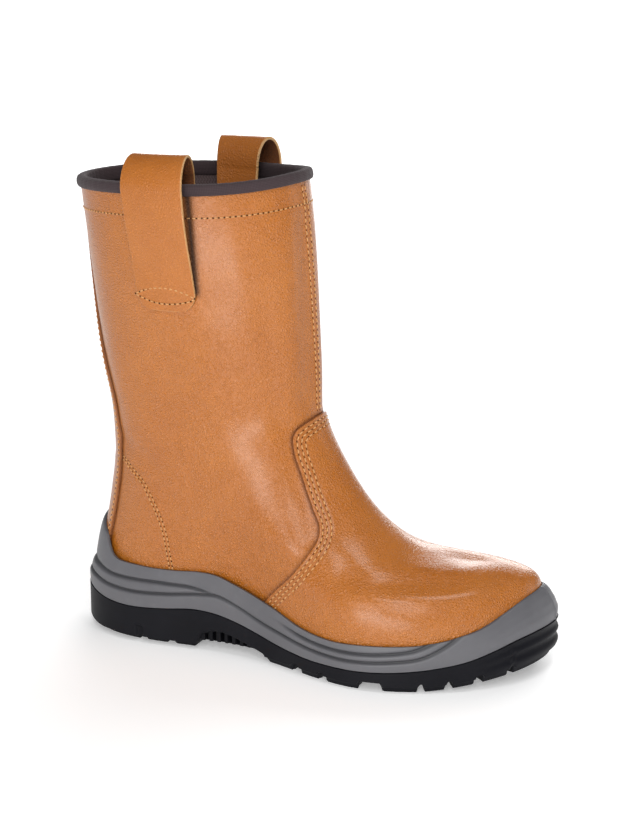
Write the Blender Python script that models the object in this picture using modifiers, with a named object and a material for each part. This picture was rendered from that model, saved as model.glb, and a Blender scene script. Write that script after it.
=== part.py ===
"""Pull-on safety boot for the right foot, as separate moulded and sewn pieces.

Lengths are millimetres until the last step, which turns them into metres.
X runs from heel to toe, Y towards the inner side of the foot and Z up from the floor.
"""
import bmesh
import bpy
import numpy as np

BOOT_NAME = "safety_boot"
MM = 0.001

# Overall sizes and the spot on the floor that becomes the origin.
OUTSOLE_LENGTH = 302.0
ORIGIN_X = 151.05
ORIGIN_Y = -1.51

# Thicknesses and the clearances between neighbouring pieces.
LEATHER = 2.2
OVERLAY = 1.4
STRAP_LEATHER = 2.0
INSOLE_THICKNESS = 4.5
SEAT = 0.35
SOLE_GAP = 0.5
CUP_CLEARANCE = 0.65
LIP = 1.6

# Columns round each ring of the upper and sole.
AROUND = 44
UPPER_LEVELS = np.concatenate((np.arange(0.0, 8.25, 0.5), (8.8, 9.7, 10.4, 11.0)))
# Small step along a surface that gives its direction there.
NEARBY = 0.01

# Share of a ring's length at which each half-width of its row is measured.
STATION_SHARE = np.array((0.03, 0.12, 0.40, 0.70, 0.92, 0.98))
STATION_ANGLE = np.arccos(1.0 - 2.0 * STATION_SHARE)

# Sections of the upper from the feather edge to the top line, one row for each ring.
# back_x, back_z, front_x, front_z, dip, then half-widths at
# heel_end, heel, waist, ball, toe, toe_end
UPPER_RINGS = np.array((
    (10.0, 28.0, 289.5, 28.0, 12.0, 20.5, 30.0, 30.0, 50.0, 33.0, 17.6),
    (10.0, 44.0, 292.1, 43.2, 8.0, 21.5, 32.0, 33.0, 51.0, 35.0, 18.8),
    (12.6, 60.0, 287.2, 59.3, 4.0, 21.5, 33.0, 34.5, 46.8, 28.7, 14.3),
    (17.2, 77.0, 260.2, 62.8, 0.0, 21.0, 33.0, 36.0, 38.6, 20.2, 12.0),
    (20.0, 94.0, 225.6, 68.7, 0.0, 19.5, 32.0, 37.0, 38.4, 22.6, 11.3),
    (22.6, 112.0, 195.7, 88.9, 0.0, 18.0, 31.0, 38.0, 35.6, 20.2, 10.1),
    (22.2, 130.0, 173.4, 118.4, 0.0, 16.8, 30.5, 39.0, 35.2, 19.8, 9.9),
    (20.6, 150.0, 158.6, 147.5, 0.0, 16.0, 30.5, 40.5, 36.5, 21.0, 10.6),
    (15.0, 175.0, 157.3, 176.6, 0.0, 15.9, 31.0, 43.0, 40.0, 23.0, 11.7),
    (9.4, 215.0, 154.7, 219.3, 1.0, 16.7, 32.2, 48.4, 44.8, 26.2, 13.4),
    (5.2, 252.0, 152.0, 257.7, 2.0, 17.7, 34.3, 51.6, 48.2, 28.1, 14.4),
    (1.2, 286.3, 147.4, 295.2, 2.4, 18.3, 35.4, 53.2, 49.8, 29.3, 14.9),
))
LEVELS = np.arange(len(UPPER_RINGS), dtype=float)
RIM_LEVEL = LEVELS[-1]

# Outline of the sole, in the same columns as a ring of the upper.
SOLE_RING = np.array((0.0, 0.0, OUTSOLE_LENGTH, 0.0, 0.0, 22.5, 36.5, 34.5, 55.5, 37.5, 21.0))

# Sideways swing of the foot's middle line along X: x, y.
SWING = np.array((
    (-20.0, 0.0), (0.0, 0.0), (60.0, 0.0), (121.0, -2.0),
    (211.0, -2.5), (265.0, 7.5), (302.0, 19.0), (330.0, 28.0),
))

# Heights along the side of the sole: x, inside floor of the outsole, split between
# outsole and midsole, top of the moulded bands, top of the midsole's lip.
SOLE_LINES = np.array((
    (0.0, 17.0, 28.0, 54.0, 73.0),
    (9.0, 17.0, 27.0, 53.5, 67.5),
    (14.5, 17.0, 25.7, 52.9, 63.2),
    (17.5, 17.0, 25.0, 52.2, 58.4),
    (20.5, 17.0, 24.4, 51.4, 54.2),
    (25.0, 17.0, 23.6, 50.5, 51.4),
    (32.0, 17.0, 22.9, 49.8, 50.0),
    (43.0, 17.1, 22.6, 49.2, 49.2),
    (68.0, 17.5, 24.0, 49.4, 49.4),
    (88.0, 18.0, 25.8, 50.8, 50.8),
    (101.0, 17.4, 24.8, 50.2, 50.2),
    (116.0, 16.0, 21.5, 46.3, 46.3),
    (128.5, 13.8, 18.0, 42.4, 42.4),
    (146.5, 10.8, 13.6, 36.8, 36.8),
    (166.0, 9.2, 11.2, 30.5, 30.5),
    (190.0, 8.9, 11.0, 27.3, 27.3),
    (211.0, 9.0, 11.5, 27.7, 27.7),
    (230.0, 9.8, 12.7, 28.4, 28.4),
    (250.0, 11.1, 15.1, 30.0, 30.0),
    (268.0, 13.7, 19.0, 34.1, 34.1),
    (280.0, 16.2, 23.9, 38.6, 38.6),
    (290.0, 18.5, 28.5, 45.2, 45.2),
    (297.0, 19.8, 30.8, 50.0, 50.0),
    (302.0, 20.5, 32.0, 52.6, 52.6),
))

# Side of the midsole from the split to the lip: height share, lean share, groove depth.
MIDSOLE_SIDE = np.array((
    (0.00, 0.00, 0.2), (0.12, 0.00, -0.5), (0.31, 0.04, -0.5), (0.37, 0.10, 0.9),
    (0.41, 0.15, 0.0), (0.58, 0.31, -0.3), (0.635, 0.40, 0.9), (0.68, 0.45, 0.0),
    (0.86, 0.70, -0.4), (0.96, 0.90, 0.0), (1.00, 1.00, 0.3),
))
GROOVES_FADE = (235.0, 262.0)

# Side of the outsole above its bevelled bottom edge: height share, rib at the toe.
OUTSOLE_SIDE = np.array((
    (0.00, 0.5), (0.20, -0.5), (0.40, 0.7), (0.60, -0.5), (0.80, 0.7), (1.00, -0.3),
))
TOE_RIBS_FROM = (268.0, 288.0)
OUTSOLE_PROUD = 0.4
EDGE_BEVEL = 4.0
HEEL_ROUNDING = (26.0, 5.0)
TOE_SPRING_FROM = 234.0
TOE_SPRING = 11.0

# Inset of the bottom edge from the outline: x, inset.
BOTTOM_INSET = np.array((
    (0.0, 5.0), (50.0, 6.5), (95.0, 5.5), (150.0, 3.0), (240.0, 3.0), (302.0, 4.0),
))
# Inset of the step where the midsole sits in the outsole: its rim and its floor.
STEP_RIM_INSET = 5.0
STEP_FLOOR_INSET = 8.0
STEP_CLEARANCE = 0.25

# Tread grooves across the edge of the forefoot: middle x, width.
EDGE_GROOVES = (
    (160.5, 6.0), (180.5, 5.0), (213.0, 14.0), (242.5, 3.5), (257.5, 4.0), (272.5, 5.0), (288.0, 3.5),
)
EDGE_REACH = 21.0
LUG_HEIGHT = 5.0
# Grooves across the middle of the forefoot, each bent forward like an arrow.
MIDDLE_GROOVES = (150.7, 171.3, 193.2, 215.4, 237.1, 257.3)
MIDDLE_GROOVE_WIDTH = 5.0
MIDDLE_GROOVE_HEIGHT = 4.6
MIDDLE_GROOVE_BEND = 6.0
# Grooves along the forefoot, at a share of the half-width from its middle.
CHANNEL_SHARE = 0.42
CHANNEL_WIDTH = 4.5
CHANNEL_HEIGHT = 4.8
CHANNEL_X = (139.0, 280.0)
CHANNEL_STEPS = 12
# Grooves across the heel as middle x and width, and the one along it from x to x.
HEEL_GROOVES = ((17.0, 3.0), (50.5, 4.5), (70.0, 4.0))
HEEL_GROOVE_HEIGHT = 3.6
# Upright notch in each side of the heel: middle x, width, height, depth.
HEEL_NOTCH = (50.5, 4.5, 11.0, 1.8)
HEEL_CHANNEL = (10.0, 92.0)
HEEL_CHANNEL_WIDTH = 5.0
HEEL_CHANNEL_HEIGHT = 3.3

# Cutting bodies run this far below the floor, past the outline and out to each side.
CUT_BELOW = -4.0
CUT_PAST = 8.0
CUT_SIDE = 90.0

# Arch: underside profile and the ribbed recess in each side, as x, z.
ARCH_TUNNEL = ((84.5, -1.0), (91.0, 5.3), (133.0, 5.5), (141.0, -1.0))
ARCH_RECESS = (
    (89.0, -1.5), (90.0, 6.0), (93.0, 11.0), (98.0, 13.4), (106.0, 13.8),
    (114.0, 12.0), (122.0, 9.5), (130.0, 7.0), (137.0, 5.0), (138.0, -1.5),
)
RECESS_DEPTH = 2.4
RIB_SLOTS = np.arange(95.5, 130.0, 5.2)
RIB_SLOT_WIDTH = 2.6
RIB_SLOT_DEPTH = 6.5
RIB_SLOT_CEILING = 1.2

# Side view of the vamp's back edge, as x, z from the floor up to the front of the ankle.
VAMP_SEAM = (
    (122.0, 10.0), (139.7, 41.8), (160.3, 63.3), (168.6, 76.0), (171.1, 82.0),
    (170.6, 88.0), (165.1, 98.4), (156.2, 118.2), (150.2, 134.0), (149.6, 140.5),
    (151.6, 144.8), (155.6, 148.2), (159.5, 151.0), (170.0, 154.0),
)
VAMP_FRONT = 330.0
VAMP_COLUMNS = (9, 36)
VAMP_LOWEST = 0.2
VAMP_HIGHEST = 7.6

# Back view of half the backstay, as z, half-width: wide over the heel, then tapering up the shaft.
BACKSTAY_EDGE = (
    (44.5, 24.4), (66.0, 25.4), (110.0, 25.6), (140.0, 26.0), (153.0, 25.6), (166.0, 24.0),
    (180.0, 20.6), (194.0, 16.6), (215.0, 12.6), (245.0, 10.0), (274.0, 9.0),
)
BACKSTAY_X = (-40.0, 60.0)
BACKSTAY_COLUMNS = 5

# The midsole's inner wall stands closer between the backstay and the vamp, in degrees.
BARE_FROM = (34.0, 44.0)
BARE_TO = (66.0, 76.0)
CUP_ROWS = 5
CUP_HIGHEST_LEVEL = 5.0
# The midsole's lip rises above its bands over this share of its side.
LIP_RISE = (0.6, 1.0)

# Section of the collar binding round the rim: outward from the leather's outer face, height.
BINDING_SECTION = (
    (SEAT, -4.3), (1.6, -4.1), (2.2, -1.6), (1.1, 2.0), (-3.3, 2.0),
    (-4.4, -1.6), (-3.8, -6.6), (-LEATHER - SEAT, -6.8), (-LEATHER - SEAT, SEAT), (SEAT, SEAT),
)

# Footbed: clearance from the upper's inner face, and the bevel round its top.
INSOLE_CLEARANCE = 0.6
INSOLE_BEVEL = 1.0
INSOLE_LEVEL = 0.05

# Pull straps: angle of the middle at the sewn foot, at the rim and down the inside, and half-width.
STRAP_FOOT_ANGLE = {"pull_strap_lateral": 88.6, "pull_strap_medial": -96.0}
STRAP_RIM_ANGLE = {"pull_strap_lateral": 91.5, "pull_strap_medial": -99.5}
STRAP_INNER_ANGLE = {"pull_strap_lateral": 91.5, "pull_strap_medial": -103.5}
STRAP_HALF_WIDTH = 19.6
# Outer leg as level on the upper, stand-off, more stand-off of the twisted edge, width share.
STRAP_OUTER_LEG = np.array((
    (9.00, 0.5, 0.0, 0.45), (9.06, 0.5, 0.0, 0.78), (9.16, 0.5, 0.0, 0.95), (9.32, 0.55, 0.2, 1.0),
    (9.6, 1.0, 1.4, 1.0), (9.9, 2.0, 3.0, 1.0), (10.2, 3.4, 4.0, 1.0), (10.5, 4.6, 4.4, 1.0),
    (10.8, 5.2, 4.2, 1.0), (11.0, 5.4, 3.8, 1.0),
))
# How far the edge towards the toe twists off, as a share of the above.
STRAP_TWIST = {"pull_strap_lateral": 1.0, "pull_strap_medial": 0.0}
STRAP_LOOP_HEIGHT = 17.0
STRAP_LOOP_STEPS = 8
# Inner leg as depth below the rim and distance from the leather's inner face.
STRAP_INNER_LEG = np.array((
    (0.0, 14.5), (12.0, 16.8), (24.0, 16.0), (36.0, 11.0), (48.0, 4.5), (59.0, 0.9), (70.0, 0.6),
))
STRAP_COLUMNS = 4
STRAP_ACROSS = np.linspace(-1.0, 1.0, STRAP_COLUMNS)


def through(knots, values, at):
    """Smooth curve through the rows of values, read at the given places."""
    values = np.asarray(values, dtype=float)
    step = np.diff(knots)
    slope = np.diff(values, axis=0) / step[:, None]
    tangent = np.empty_like(values)
    spread = (step[1:] + step[:-1])[:, None]
    tangent[1:-1] = (slope[:-1] * step[1:, None] + slope[1:] * step[:-1, None]) / spread
    tangent[0] = 1.5 * slope[0] - 0.5 * tangent[1]
    tangent[-1] = 1.5 * slope[-1] - 0.5 * tangent[-2]
    place = np.clip(np.searchsorted(knots, at, side="right") - 1, 0, len(knots) - 2)
    share = ((at - knots[place]) / step[place])[..., None]
    width = step[place][..., None]
    rest = 1.0 - share
    return (
        (1.0 + 2.0 * share) * rest**2 * values[place]
        + share * rest**2 * width * tangent[place]
        + share**2 * (3.0 - 2.0 * share) * values[place + 1]
        - share**2 * rest * width * tangent[place + 1]
    )


def column(table, x, index):
    """One column of a table whose first column is x."""
    return through(table[:, 0], table[:, index:index + 1], np.asarray(x, dtype=float))[..., 0]


def ease(low, high, x):
    """Smooth step from 0 at low to 1 at high."""
    share = np.clip((np.asarray(x, dtype=float) - low) / (high - low), 0.0, 1.0)
    return share * share * (3.0 - 2.0 * share)


def ring(rows, angle):
    """Points of the rings at an angle that runs from the back over the outer side to the toe."""
    fold = np.minimum(angle, 2.0 * np.pi - angle)
    side = np.where(angle <= np.pi, -1.0, 1.0)
    knots = np.concatenate(([-STATION_ANGLE[0]], STATION_ANGLE, [2.0 * np.pi - STATION_ANGLE[-1]]))
    stations = np.eye(len(STATION_ANGLE))
    weights = through(knots, np.vstack((stations[:1], stations, stations[-1:])), fold)
    half = np.sin(fold) * np.sum(weights * rows[..., 5:] / np.sin(STATION_ANGLE), axis=-1)
    share = (1.0 - np.cos(fold)) / 2.0
    x = rows[..., 0] + (rows[..., 2] - rows[..., 0]) * share
    dip = rows[..., 4] * 256.0 / 27.0 * share**3 * (1.0 - share)
    z = rows[..., 1] + (rows[..., 3] - rows[..., 1]) * share - dip
    return np.stack((x, column(SWING, x, 1) + side * half, z), axis=-1)


def upper_point(angle, level):
    """Outer face of the upper."""
    angle, level = np.broadcast_arrays(np.asarray(angle, dtype=float), np.asarray(level, dtype=float))
    return ring(through(LEVELS, UPPER_RINGS, level), np.mod(angle, 2.0 * np.pi))


def upper_normal(angle, level):
    """Outward direction of the upper's outer face."""
    round_it = upper_point(angle + NEARBY, level) - upper_point(angle - NEARBY, level)
    up_it = upper_point(angle, level + NEARBY) - upper_point(angle, level - NEARBY)
    normal = np.cross(round_it, up_it)
    return normal / np.linalg.norm(normal, axis=-1, keepdims=True)


def upper_offset(angle, level, out):
    """The upper's outer face moved outward, or inward where out is negative."""
    return upper_point(angle, level) + upper_normal(angle, level) * np.asarray(out, dtype=float)[..., None]


def angles(count=AROUND):
    """Evenly spaced angles round a ring, from the middle of the back."""
    return np.arange(count) * 2.0 * np.pi / count


def sole_ring(turn):
    """Points of the sole's outline at the given angles."""
    return ring(np.broadcast_to(SOLE_RING, (len(turn), len(SOLE_RING))), np.mod(turn, 2.0 * np.pi))


def sole_outline(inset, height):
    """Ring of the sole's outline, moved in by inset and lifted to height."""
    turn = angles()
    points = sole_ring(turn)
    along = sole_ring(turn + NEARBY) - sole_ring(turn - NEARBY)
    outward = np.stack((along[:, 1], -along[:, 0], np.zeros(AROUND)), axis=-1)
    outward /= np.linalg.norm(outward, axis=-1, keepdims=True)
    points = points - outward * np.broadcast_to(inset, (AROUND,))[:, None]
    points[:, 2] = height
    return points


def sole_x():
    """X of each column of the sole's outline."""
    return sole_ring(angles())[:, 0]


def outline_at(x, side, inset=0.0):
    """Point on the side of the outline at x, side -1 outer and 1 inner, and the outward direction there."""
    share = x / OUTSOLE_LENGTH
    turn = np.arccos(1.0 - 2.0 * share)
    turn = turn if side < 0 else 2.0 * np.pi - turn
    behind, point, ahead = sole_ring(np.array((turn - NEARBY, turn, turn + NEARBY)))
    outward = np.array((ahead[1] - behind[1], behind[0] - ahead[0]))
    outward /= np.linalg.norm(outward)
    return point[:2] - outward * inset, outward


def ground(x):
    """Height of the bottom of the sole, with a rounded heel and the spring of the toe."""
    x = np.asarray(x, dtype=float)
    heel = HEEL_ROUNDING[1] * np.clip(1.0 - x / HEEL_ROUNDING[0], 0.0, 1.0) ** 2
    toe = np.clip((x - TOE_SPRING_FROM) / (OUTSOLE_LENGTH - TOE_SPRING_FROM), 0.0, 1.0) ** 1.8
    return heel + TOE_SPRING * toe


def cup_clearance(turn):
    """Room between the upper's face and the midsole's inner wall, wider where an overlay lies between."""
    fold = np.degrees(np.minimum(turn, 2.0 * np.pi - turn))
    bare = ease(*BARE_FROM, fold) * (1.0 - ease(*BARE_TO, fold))
    return CUP_CLEARANCE + (SEAT + OVERLAY) * (1.0 - bare)


def level_at(turn, height):
    """Level of the upper at which each angle reaches a height."""
    low = np.zeros_like(turn)
    high = np.full_like(turn, CUP_HIGHEST_LEVEL)
    for _ in range(40):
        middle = (low + high) / 2.0
        below = upper_point(turn, middle)[..., 2] < height
        low = np.where(below, middle, low)
        high = np.where(below, high, middle)
    return low


def link(name, points, faces, collection, material):
    """Mesh object from points in millimetres, in metres about the origin on the floor."""
    placed = (np.asarray(points, dtype=float) - (ORIGIN_X, ORIGIN_Y, 0.0)) * MM
    mesh = bpy.data.meshes.new(name)
    mesh.from_pydata(placed.tolist(), [], faces)
    mesh.update()
    obj = bpy.data.objects.new(name, mesh)
    collection.objects.link(obj)
    if material is not None:
        mesh.materials.append(material)
    return obj


def face_out(obj, flat=False):
    """Turn the faces of a closed mesh outward, and split them into flat triangles where flat."""
    work = bmesh.new()
    work.from_mesh(obj.data)
    bmesh.ops.recalc_face_normals(work, faces=work.faces)
    if flat:
        bmesh.ops.triangulate(work, faces=work.faces)
    work.to_mesh(obj.data)
    work.free()
    return obj


def bands(ring_count, size, closed):
    """Triangles between successive rings, and back to the first ring where closed."""
    faces = []
    for row in range(ring_count if closed else ring_count - 1):
        base = row * size
        after = (row + 1) % ring_count * size
        for step in range(size):
            ahead = (step + 1) % size
            faces.append((base + step, base + ahead, after + ahead))
            faces.append((base + step, after + ahead, after + step))
    return faces


def ladder(base, size):
    """Faces straight across a ring, from its outer half to its inner half."""
    faces = [(base, base + 1, base + size - 1)]
    for step in range(1, size // 2 - 1):
        faces.append((base + step, base + step + 1, base + size - step - 1, base + size - step))
    middle = base + size // 2
    faces.append((middle - 1, middle, middle + 1))
    return faces


def ring_solid(name, rings, collection, material):
    """Closed body whose rings run once round its section."""
    points = np.concatenate(rings)
    return face_out(link(name, points, bands(len(rings), len(rings[0]), True), collection, material))


def capped_solid(name, rings, collection, material):
    """Closed body through successive rings, with its first and last rings filled."""
    size = len(rings[0])
    faces = bands(len(rings), size, False) + ladder(0, size) + ladder((len(rings) - 1) * size, size)
    return face_out(link(name, np.concatenate(rings), faces, collection, material))


def sheet(name, grid, wrap, thickness, collection, material):
    """Sheet over a grid of points, thickened outward, or inward where thickness is negative."""
    rows, columns = grid.shape[:2]
    faces = []
    for row in range(rows - 1):
        for step in range(columns if wrap else columns - 1):
            ahead = (step + 1) % columns
            below, above = row * columns, (row + 1) * columns
            faces.append((below + step, below + ahead, above + ahead))
            faces.append((below + step, above + ahead, above + step))
    obj = link(name, grid.reshape(-1, 3), faces, collection, material)
    solid = obj.modifiers.new("leather", "SOLIDIFY")
    solid.thickness = abs(thickness) * MM
    solid.offset = 1.0 if thickness > 0.0 else -1.0
    solid.use_even_offset = True
    solid.use_quality_normals = True
    return obj


def prism(points, low, high):
    """Corners and faces of an upright prism over a polygon in the floor plane."""
    count = len(points)
    low = np.broadcast_to(low, (count,))
    high = np.broadcast_to(high, (count,))
    corners = [(x, y, z) for (x, y), z in zip(points, low)]
    corners += [(x, y, z) for (x, y), z in zip(points, high)]
    faces = [tuple(range(count)), tuple(range(2 * count - 1, count - 1, -1))]
    faces += [(i, (i + 1) % count, count + (i + 1) % count, count + i) for i in range(count)]
    return corners, faces


def side_prism(profile, near, far):
    """Corners and faces of a body between two walls over a polygon of x, z."""
    count = len(profile)
    corners = [(x, near(x), z) for x, z in profile] + [(x, far(x), z) for x, z in profile]
    faces = [tuple(range(count)), tuple(range(2 * count - 1, count - 1, -1))]
    faces += [(i, (i + 1) % count, count + (i + 1) % count, count + i) for i in range(count)]
    return corners, faces


def across(profile):
    """Body over a polygon of x, z that runs right across the boot."""
    return side_prism(profile, lambda x: -CUT_SIDE, lambda x: CUT_SIDE)


def cutter(name, bodies, collection):
    """Mesh of several separate closed bodies, kept as wires for cutting."""
    points, faces = [], []
    for corners, sides in bodies:
        base = len(points)
        points += corners
        faces += [tuple(base + index for index in face) for face in sides]
    obj = face_out(link(name, points, faces, collection, None), flat=True)
    obj.hide_render = True
    obj.display_type = "WIRE"
    return obj


def cut(obj, tool, operation="DIFFERENCE"):
    """Cut a tool's bodies out of an object, or keep only what lies in them."""
    boolean = obj.modifiers.new(tool.name, "BOOLEAN")
    boolean.operation = operation
    boolean.solver = "EXACT"
    boolean.object = tool


def edge_groove(x, side, width):
    """Groove across the edge of the tread, square to the outline."""
    point, outward = outline_at(x, side)
    along = np.array((-outward[1], outward[0])) * width / 2.0
    outer = point + outward * CUT_PAST
    inner = point - outward * EDGE_REACH
    corners = [outer - along, inner - along, inner + along, outer + along]
    return prism(corners, CUT_BELOW, float(ground(x)) + LUG_HEIGHT)


def channel(side):
    """Groove along the forefoot between the edge lugs and the middle ones."""
    stations = np.linspace(*CHANNEL_X, CHANNEL_STEPS)
    middle = []
    for x in stations:
        outer = outline_at(x, -1)[0][1]
        inner = outline_at(x, 1)[0][1]
        middle.append((outer + inner) / 2.0 + side * CHANNEL_SHARE * (inner - outer) / 2.0)
    lower = [(x, y - CHANNEL_WIDTH / 2.0) for x, y in zip(stations, middle)]
    upper = [(x, y + CHANNEL_WIDTH / 2.0) for x, y in zip(stations, middle)]
    tops = ground(np.concatenate((stations, stations[::-1]))) + CHANNEL_HEIGHT
    return prism(lower + upper[::-1], CUT_BELOW, tops)


def middle_groove(x):
    """Groove across the middle lugs of the forefoot, bent forward in its middle."""
    outer = outline_at(x, -1)[0][1]
    inner = outline_at(x, 1)[0][1]
    centre = (outer + inner) / 2.0
    half = CHANNEL_SHARE * (inner - outer) / 2.0
    tip = x + MIDDLE_GROOVE_BEND
    width = MIDDLE_GROOVE_WIDTH
    points = [(x, centre - half), (tip, centre), (x, centre + half)]
    points += [(x + width, centre + half), (tip + width, centre), (x + width, centre - half)]
    return prism(points, CUT_BELOW, float(ground(tip)) + MIDDLE_GROOVE_HEIGHT)


def box_over(x_from, x_to, y_half, height):
    """Upright box from x to x, as far to each side of the middle, up to a height."""
    corners = [(x_from, -y_half), (x_to, -y_half), (x_to, y_half), (x_from, y_half)]
    return prism(corners, CUT_BELOW, height)


def heel_groove(x, width):
    """Groove across the heel block from side to side."""
    half = outline_at(x, 1)[0][1] + CUT_PAST
    return box_over(x - width / 2.0, x + width / 2.0, half, HEEL_GROOVE_HEIGHT)


def heel_notch(x, width, height, depth, side):
    """Upright notch in the side of the heel block."""
    near = outline_at(x, side, depth)[0][1]
    far = side * CUT_SIDE
    half = width / 2.0
    return prism([(x - half, near), (x + half, near), (x + half, far), (x - half, far)], CUT_BELOW, height)


def recess(side):
    """Shallow hollow in the side of the arch."""
    return side_prism(
        ARCH_RECESS,
        lambda x: outline_at(x, side, RECESS_DEPTH)[0][1],
        lambda x: side * CUT_SIDE,
    )


def rib_slot(x, side):
    """Slot between two ribs of the arch."""
    along, heights = zip(*ARCH_RECESS[1:-1])
    top = np.interp(x, along, heights) - RIB_SLOT_CEILING
    near = outline_at(x, side, RIB_SLOT_DEPTH)[0][1]
    far = side * CUT_SIDE
    half = RIB_SLOT_WIDTH / 2.0
    return prism([(x - half, near), (x + half, near), (x + half, far), (x - half, far)], CUT_BELOW, top)


def build_outsole(parts, cutters, material):
    """Tread layer with bevelled bottom edge, ribbed toe, arch and lugs."""
    x = sole_x()
    split = column(SOLE_LINES, x, 2)
    floor = column(SOLE_LINES, x, 1)
    bottom = ground(x)
    ribs = ease(*TOE_RIBS_FROM, x)
    rings = [sole_outline(column(BOTTOM_INSET, x, 1), bottom)]
    for share, rib in OUTSOLE_SIDE:
        height = bottom + EDGE_BEVEL + (split - bottom - EDGE_BEVEL) * share
        rings.append(sole_outline(rib * ribs - OUTSOLE_PROUD, height))
    rings.append(sole_outline(STEP_RIM_INSET, split))
    rings.append(sole_outline(STEP_FLOOR_INSET, floor))
    outsole = face_out(capped_solid("outsole", rings, parts, material), flat=True)
    sides = (-1, 1)
    hollows = {
        "arch_tunnel": [across(ARCH_TUNNEL)],
        "arch_recesses": [recess(side) for side in sides],
        "rib_slots": [rib_slot(x, side) for x in RIB_SLOTS for side in sides],
        "edge_grooves": [edge_groove(x, side, width) for x, width in EDGE_GROOVES for side in sides],
        "channels": [channel(side) for side in sides],
        "middle_grooves": [middle_groove(x) for x in MIDDLE_GROOVES],
        "heel_grooves": [heel_groove(x, width) for x, width in HEEL_GROOVES],
        "heel_notches": [heel_notch(*HEEL_NOTCH, side) for side in sides],
        "heel_channel": [box_over(*HEEL_CHANNEL, HEEL_CHANNEL_WIDTH / 2.0, HEEL_CHANNEL_HEIGHT)],
    }
    for name, bodies in hollows.items():
        cut(outsole, cutter(name, bodies, cutters))
    return outsole


def build_midsole(parts, material):
    """Moulded cup: floor, grooved side that leans in to the leather, lip and inner wall."""
    turn = angles()
    x = sole_x()
    split = column(SOLE_LINES, x, 2) + SOLE_GAP
    floor = column(SOLE_LINES, x, 1) + SOLE_GAP
    band = column(SOLE_LINES, x, 3)
    top = column(SOLE_LINES, x, 4)
    clearance = cup_clearance(turn)
    lip_level = level_at(turn, top)
    lip = upper_offset(turn, lip_level, clearance + LIP)
    grooves = 1.0 - ease(*GROOVES_FADE, x)
    rings = []
    for share in np.linspace(0.0, 1.0, CUP_ROWS):
        rings.append(upper_offset(turn, lip_level * share, clearance))
    rings[0][:, 2] = upper_point(turn, 0.0)[:, 2] - SEAT
    for share, lean, groove in MIDSOLE_SIDE[::-1]:
        height = split + (band - split) * share + (top - band) * ease(*LIP_RISE, share) * share
        depth = np.where(groove > 0.0, groove * grooves, groove)
        side = sole_outline(depth, height)
        side[:, :2] = side[:, :2] * (1.0 - lean) + lip[:, :2] * lean
        rings.append(side)
    rings.append(sole_outline(STEP_RIM_INSET + STEP_CLEARANCE, split))
    rings.append(sole_outline(STEP_FLOOR_INSET + STEP_CLEARANCE, floor))
    return capped_solid("midsole", rings, parts, material)


def build_upper(parts, material):
    """Leather shaft and foot, one hollow wall open at both ends."""
    grid = upper_point(angles()[None, :], UPPER_LEVELS[:, None])
    return sheet("upper", grid, True, -LEATHER, parts, material)


def overlay(name, turns, levels, trim, parts, cutters, material):
    """Leather overlay on the upper's own face, trimmed to a wider body's outline."""
    turn, level = np.meshgrid(turns, levels)
    grid = upper_offset(turn, level, np.full(turn.shape, SEAT))
    obj = sheet(name, grid, False, OVERLAY, parts, material)
    cut(obj, cutter(name + "_trim", [trim], cutters), "INTERSECT")
    return obj


def build_vamp(parts, cutters, material):
    """Overlay over the instep and toe, cut back along its stepped side seam."""
    turns = angles()[slice(*VAMP_COLUMNS)]
    levels = np.concatenate(((VAMP_LOWEST,), UPPER_LEVELS[1:UPPER_LEVELS.searchsorted(VAMP_HIGHEST)]))
    profile = VAMP_SEAM + ((VAMP_FRONT, VAMP_SEAM[-1][1]), (VAMP_FRONT, VAMP_SEAM[0][1]))
    return overlay("vamp", turns, levels, across(profile), parts, cutters, material)


def build_backstay(parts, cutters, material):
    """Strip over the back seam, wide at the heel."""
    turns = np.arange(-BACKSTAY_COLUMNS, BACKSTAY_COLUMNS + 1) * 2.0 * np.pi / AROUND
    levels = UPPER_LEVELS[2:]
    outline = [(half, z) for z, half in BACKSTAY_EDGE]
    outline += [(-half, z) for z, half in BACKSTAY_EDGE[::-1]]
    corners = [(x, y, z) for x in BACKSTAY_X for y, z in outline]
    faces = across(outline)[1]
    return overlay("backstay", turns, levels, (corners, faces), parts, cutters, material)


def rim_level(turn, depth):
    """Level of the upper at a depth below the rim."""
    rise = upper_point(turn, RIM_LEVEL)[..., 2] - upper_point(turn, RIM_LEVEL - 1.0)[..., 2]
    return RIM_LEVEL - depth / rise


def build_binding(parts, material):
    """Padded binding rolled over the rim of the upper."""
    turn = angles()
    rings = []
    for out, height in BINDING_SECTION:
        points = upper_offset(turn, rim_level(turn, max(-height, 0.0)), np.full(AROUND, out))
        points[:, 2] += max(height, 0.0)
        rings.append(points)
    return ring_solid("collar_binding", rings, parts, material)


def strap_turns(name, level, width):
    """Angles across a strap at a level of the upper."""
    up = (level - STRAP_OUTER_LEG[0, 0]) / (RIM_LEVEL - STRAP_OUTER_LEG[0, 0])
    middle = np.radians(STRAP_FOOT_ANGLE[name] + (STRAP_RIM_ANGLE[name] - STRAP_FOOT_ANGLE[name]) * up)
    along = upper_point(middle + NEARBY, level) - upper_point(middle - NEARBY, level)
    pace = np.linalg.norm(along) / (2.0 * NEARBY)
    return middle + STRAP_ACROSS * width * STRAP_HALF_WIDTH / pace


def strap_inner_turns(name):
    """Angles across a strap's inner leg."""
    return strap_turns(name, RIM_LEVEL, 1.0) + np.radians(STRAP_INNER_ANGLE[name] - STRAP_RIM_ANGLE[name])


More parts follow.
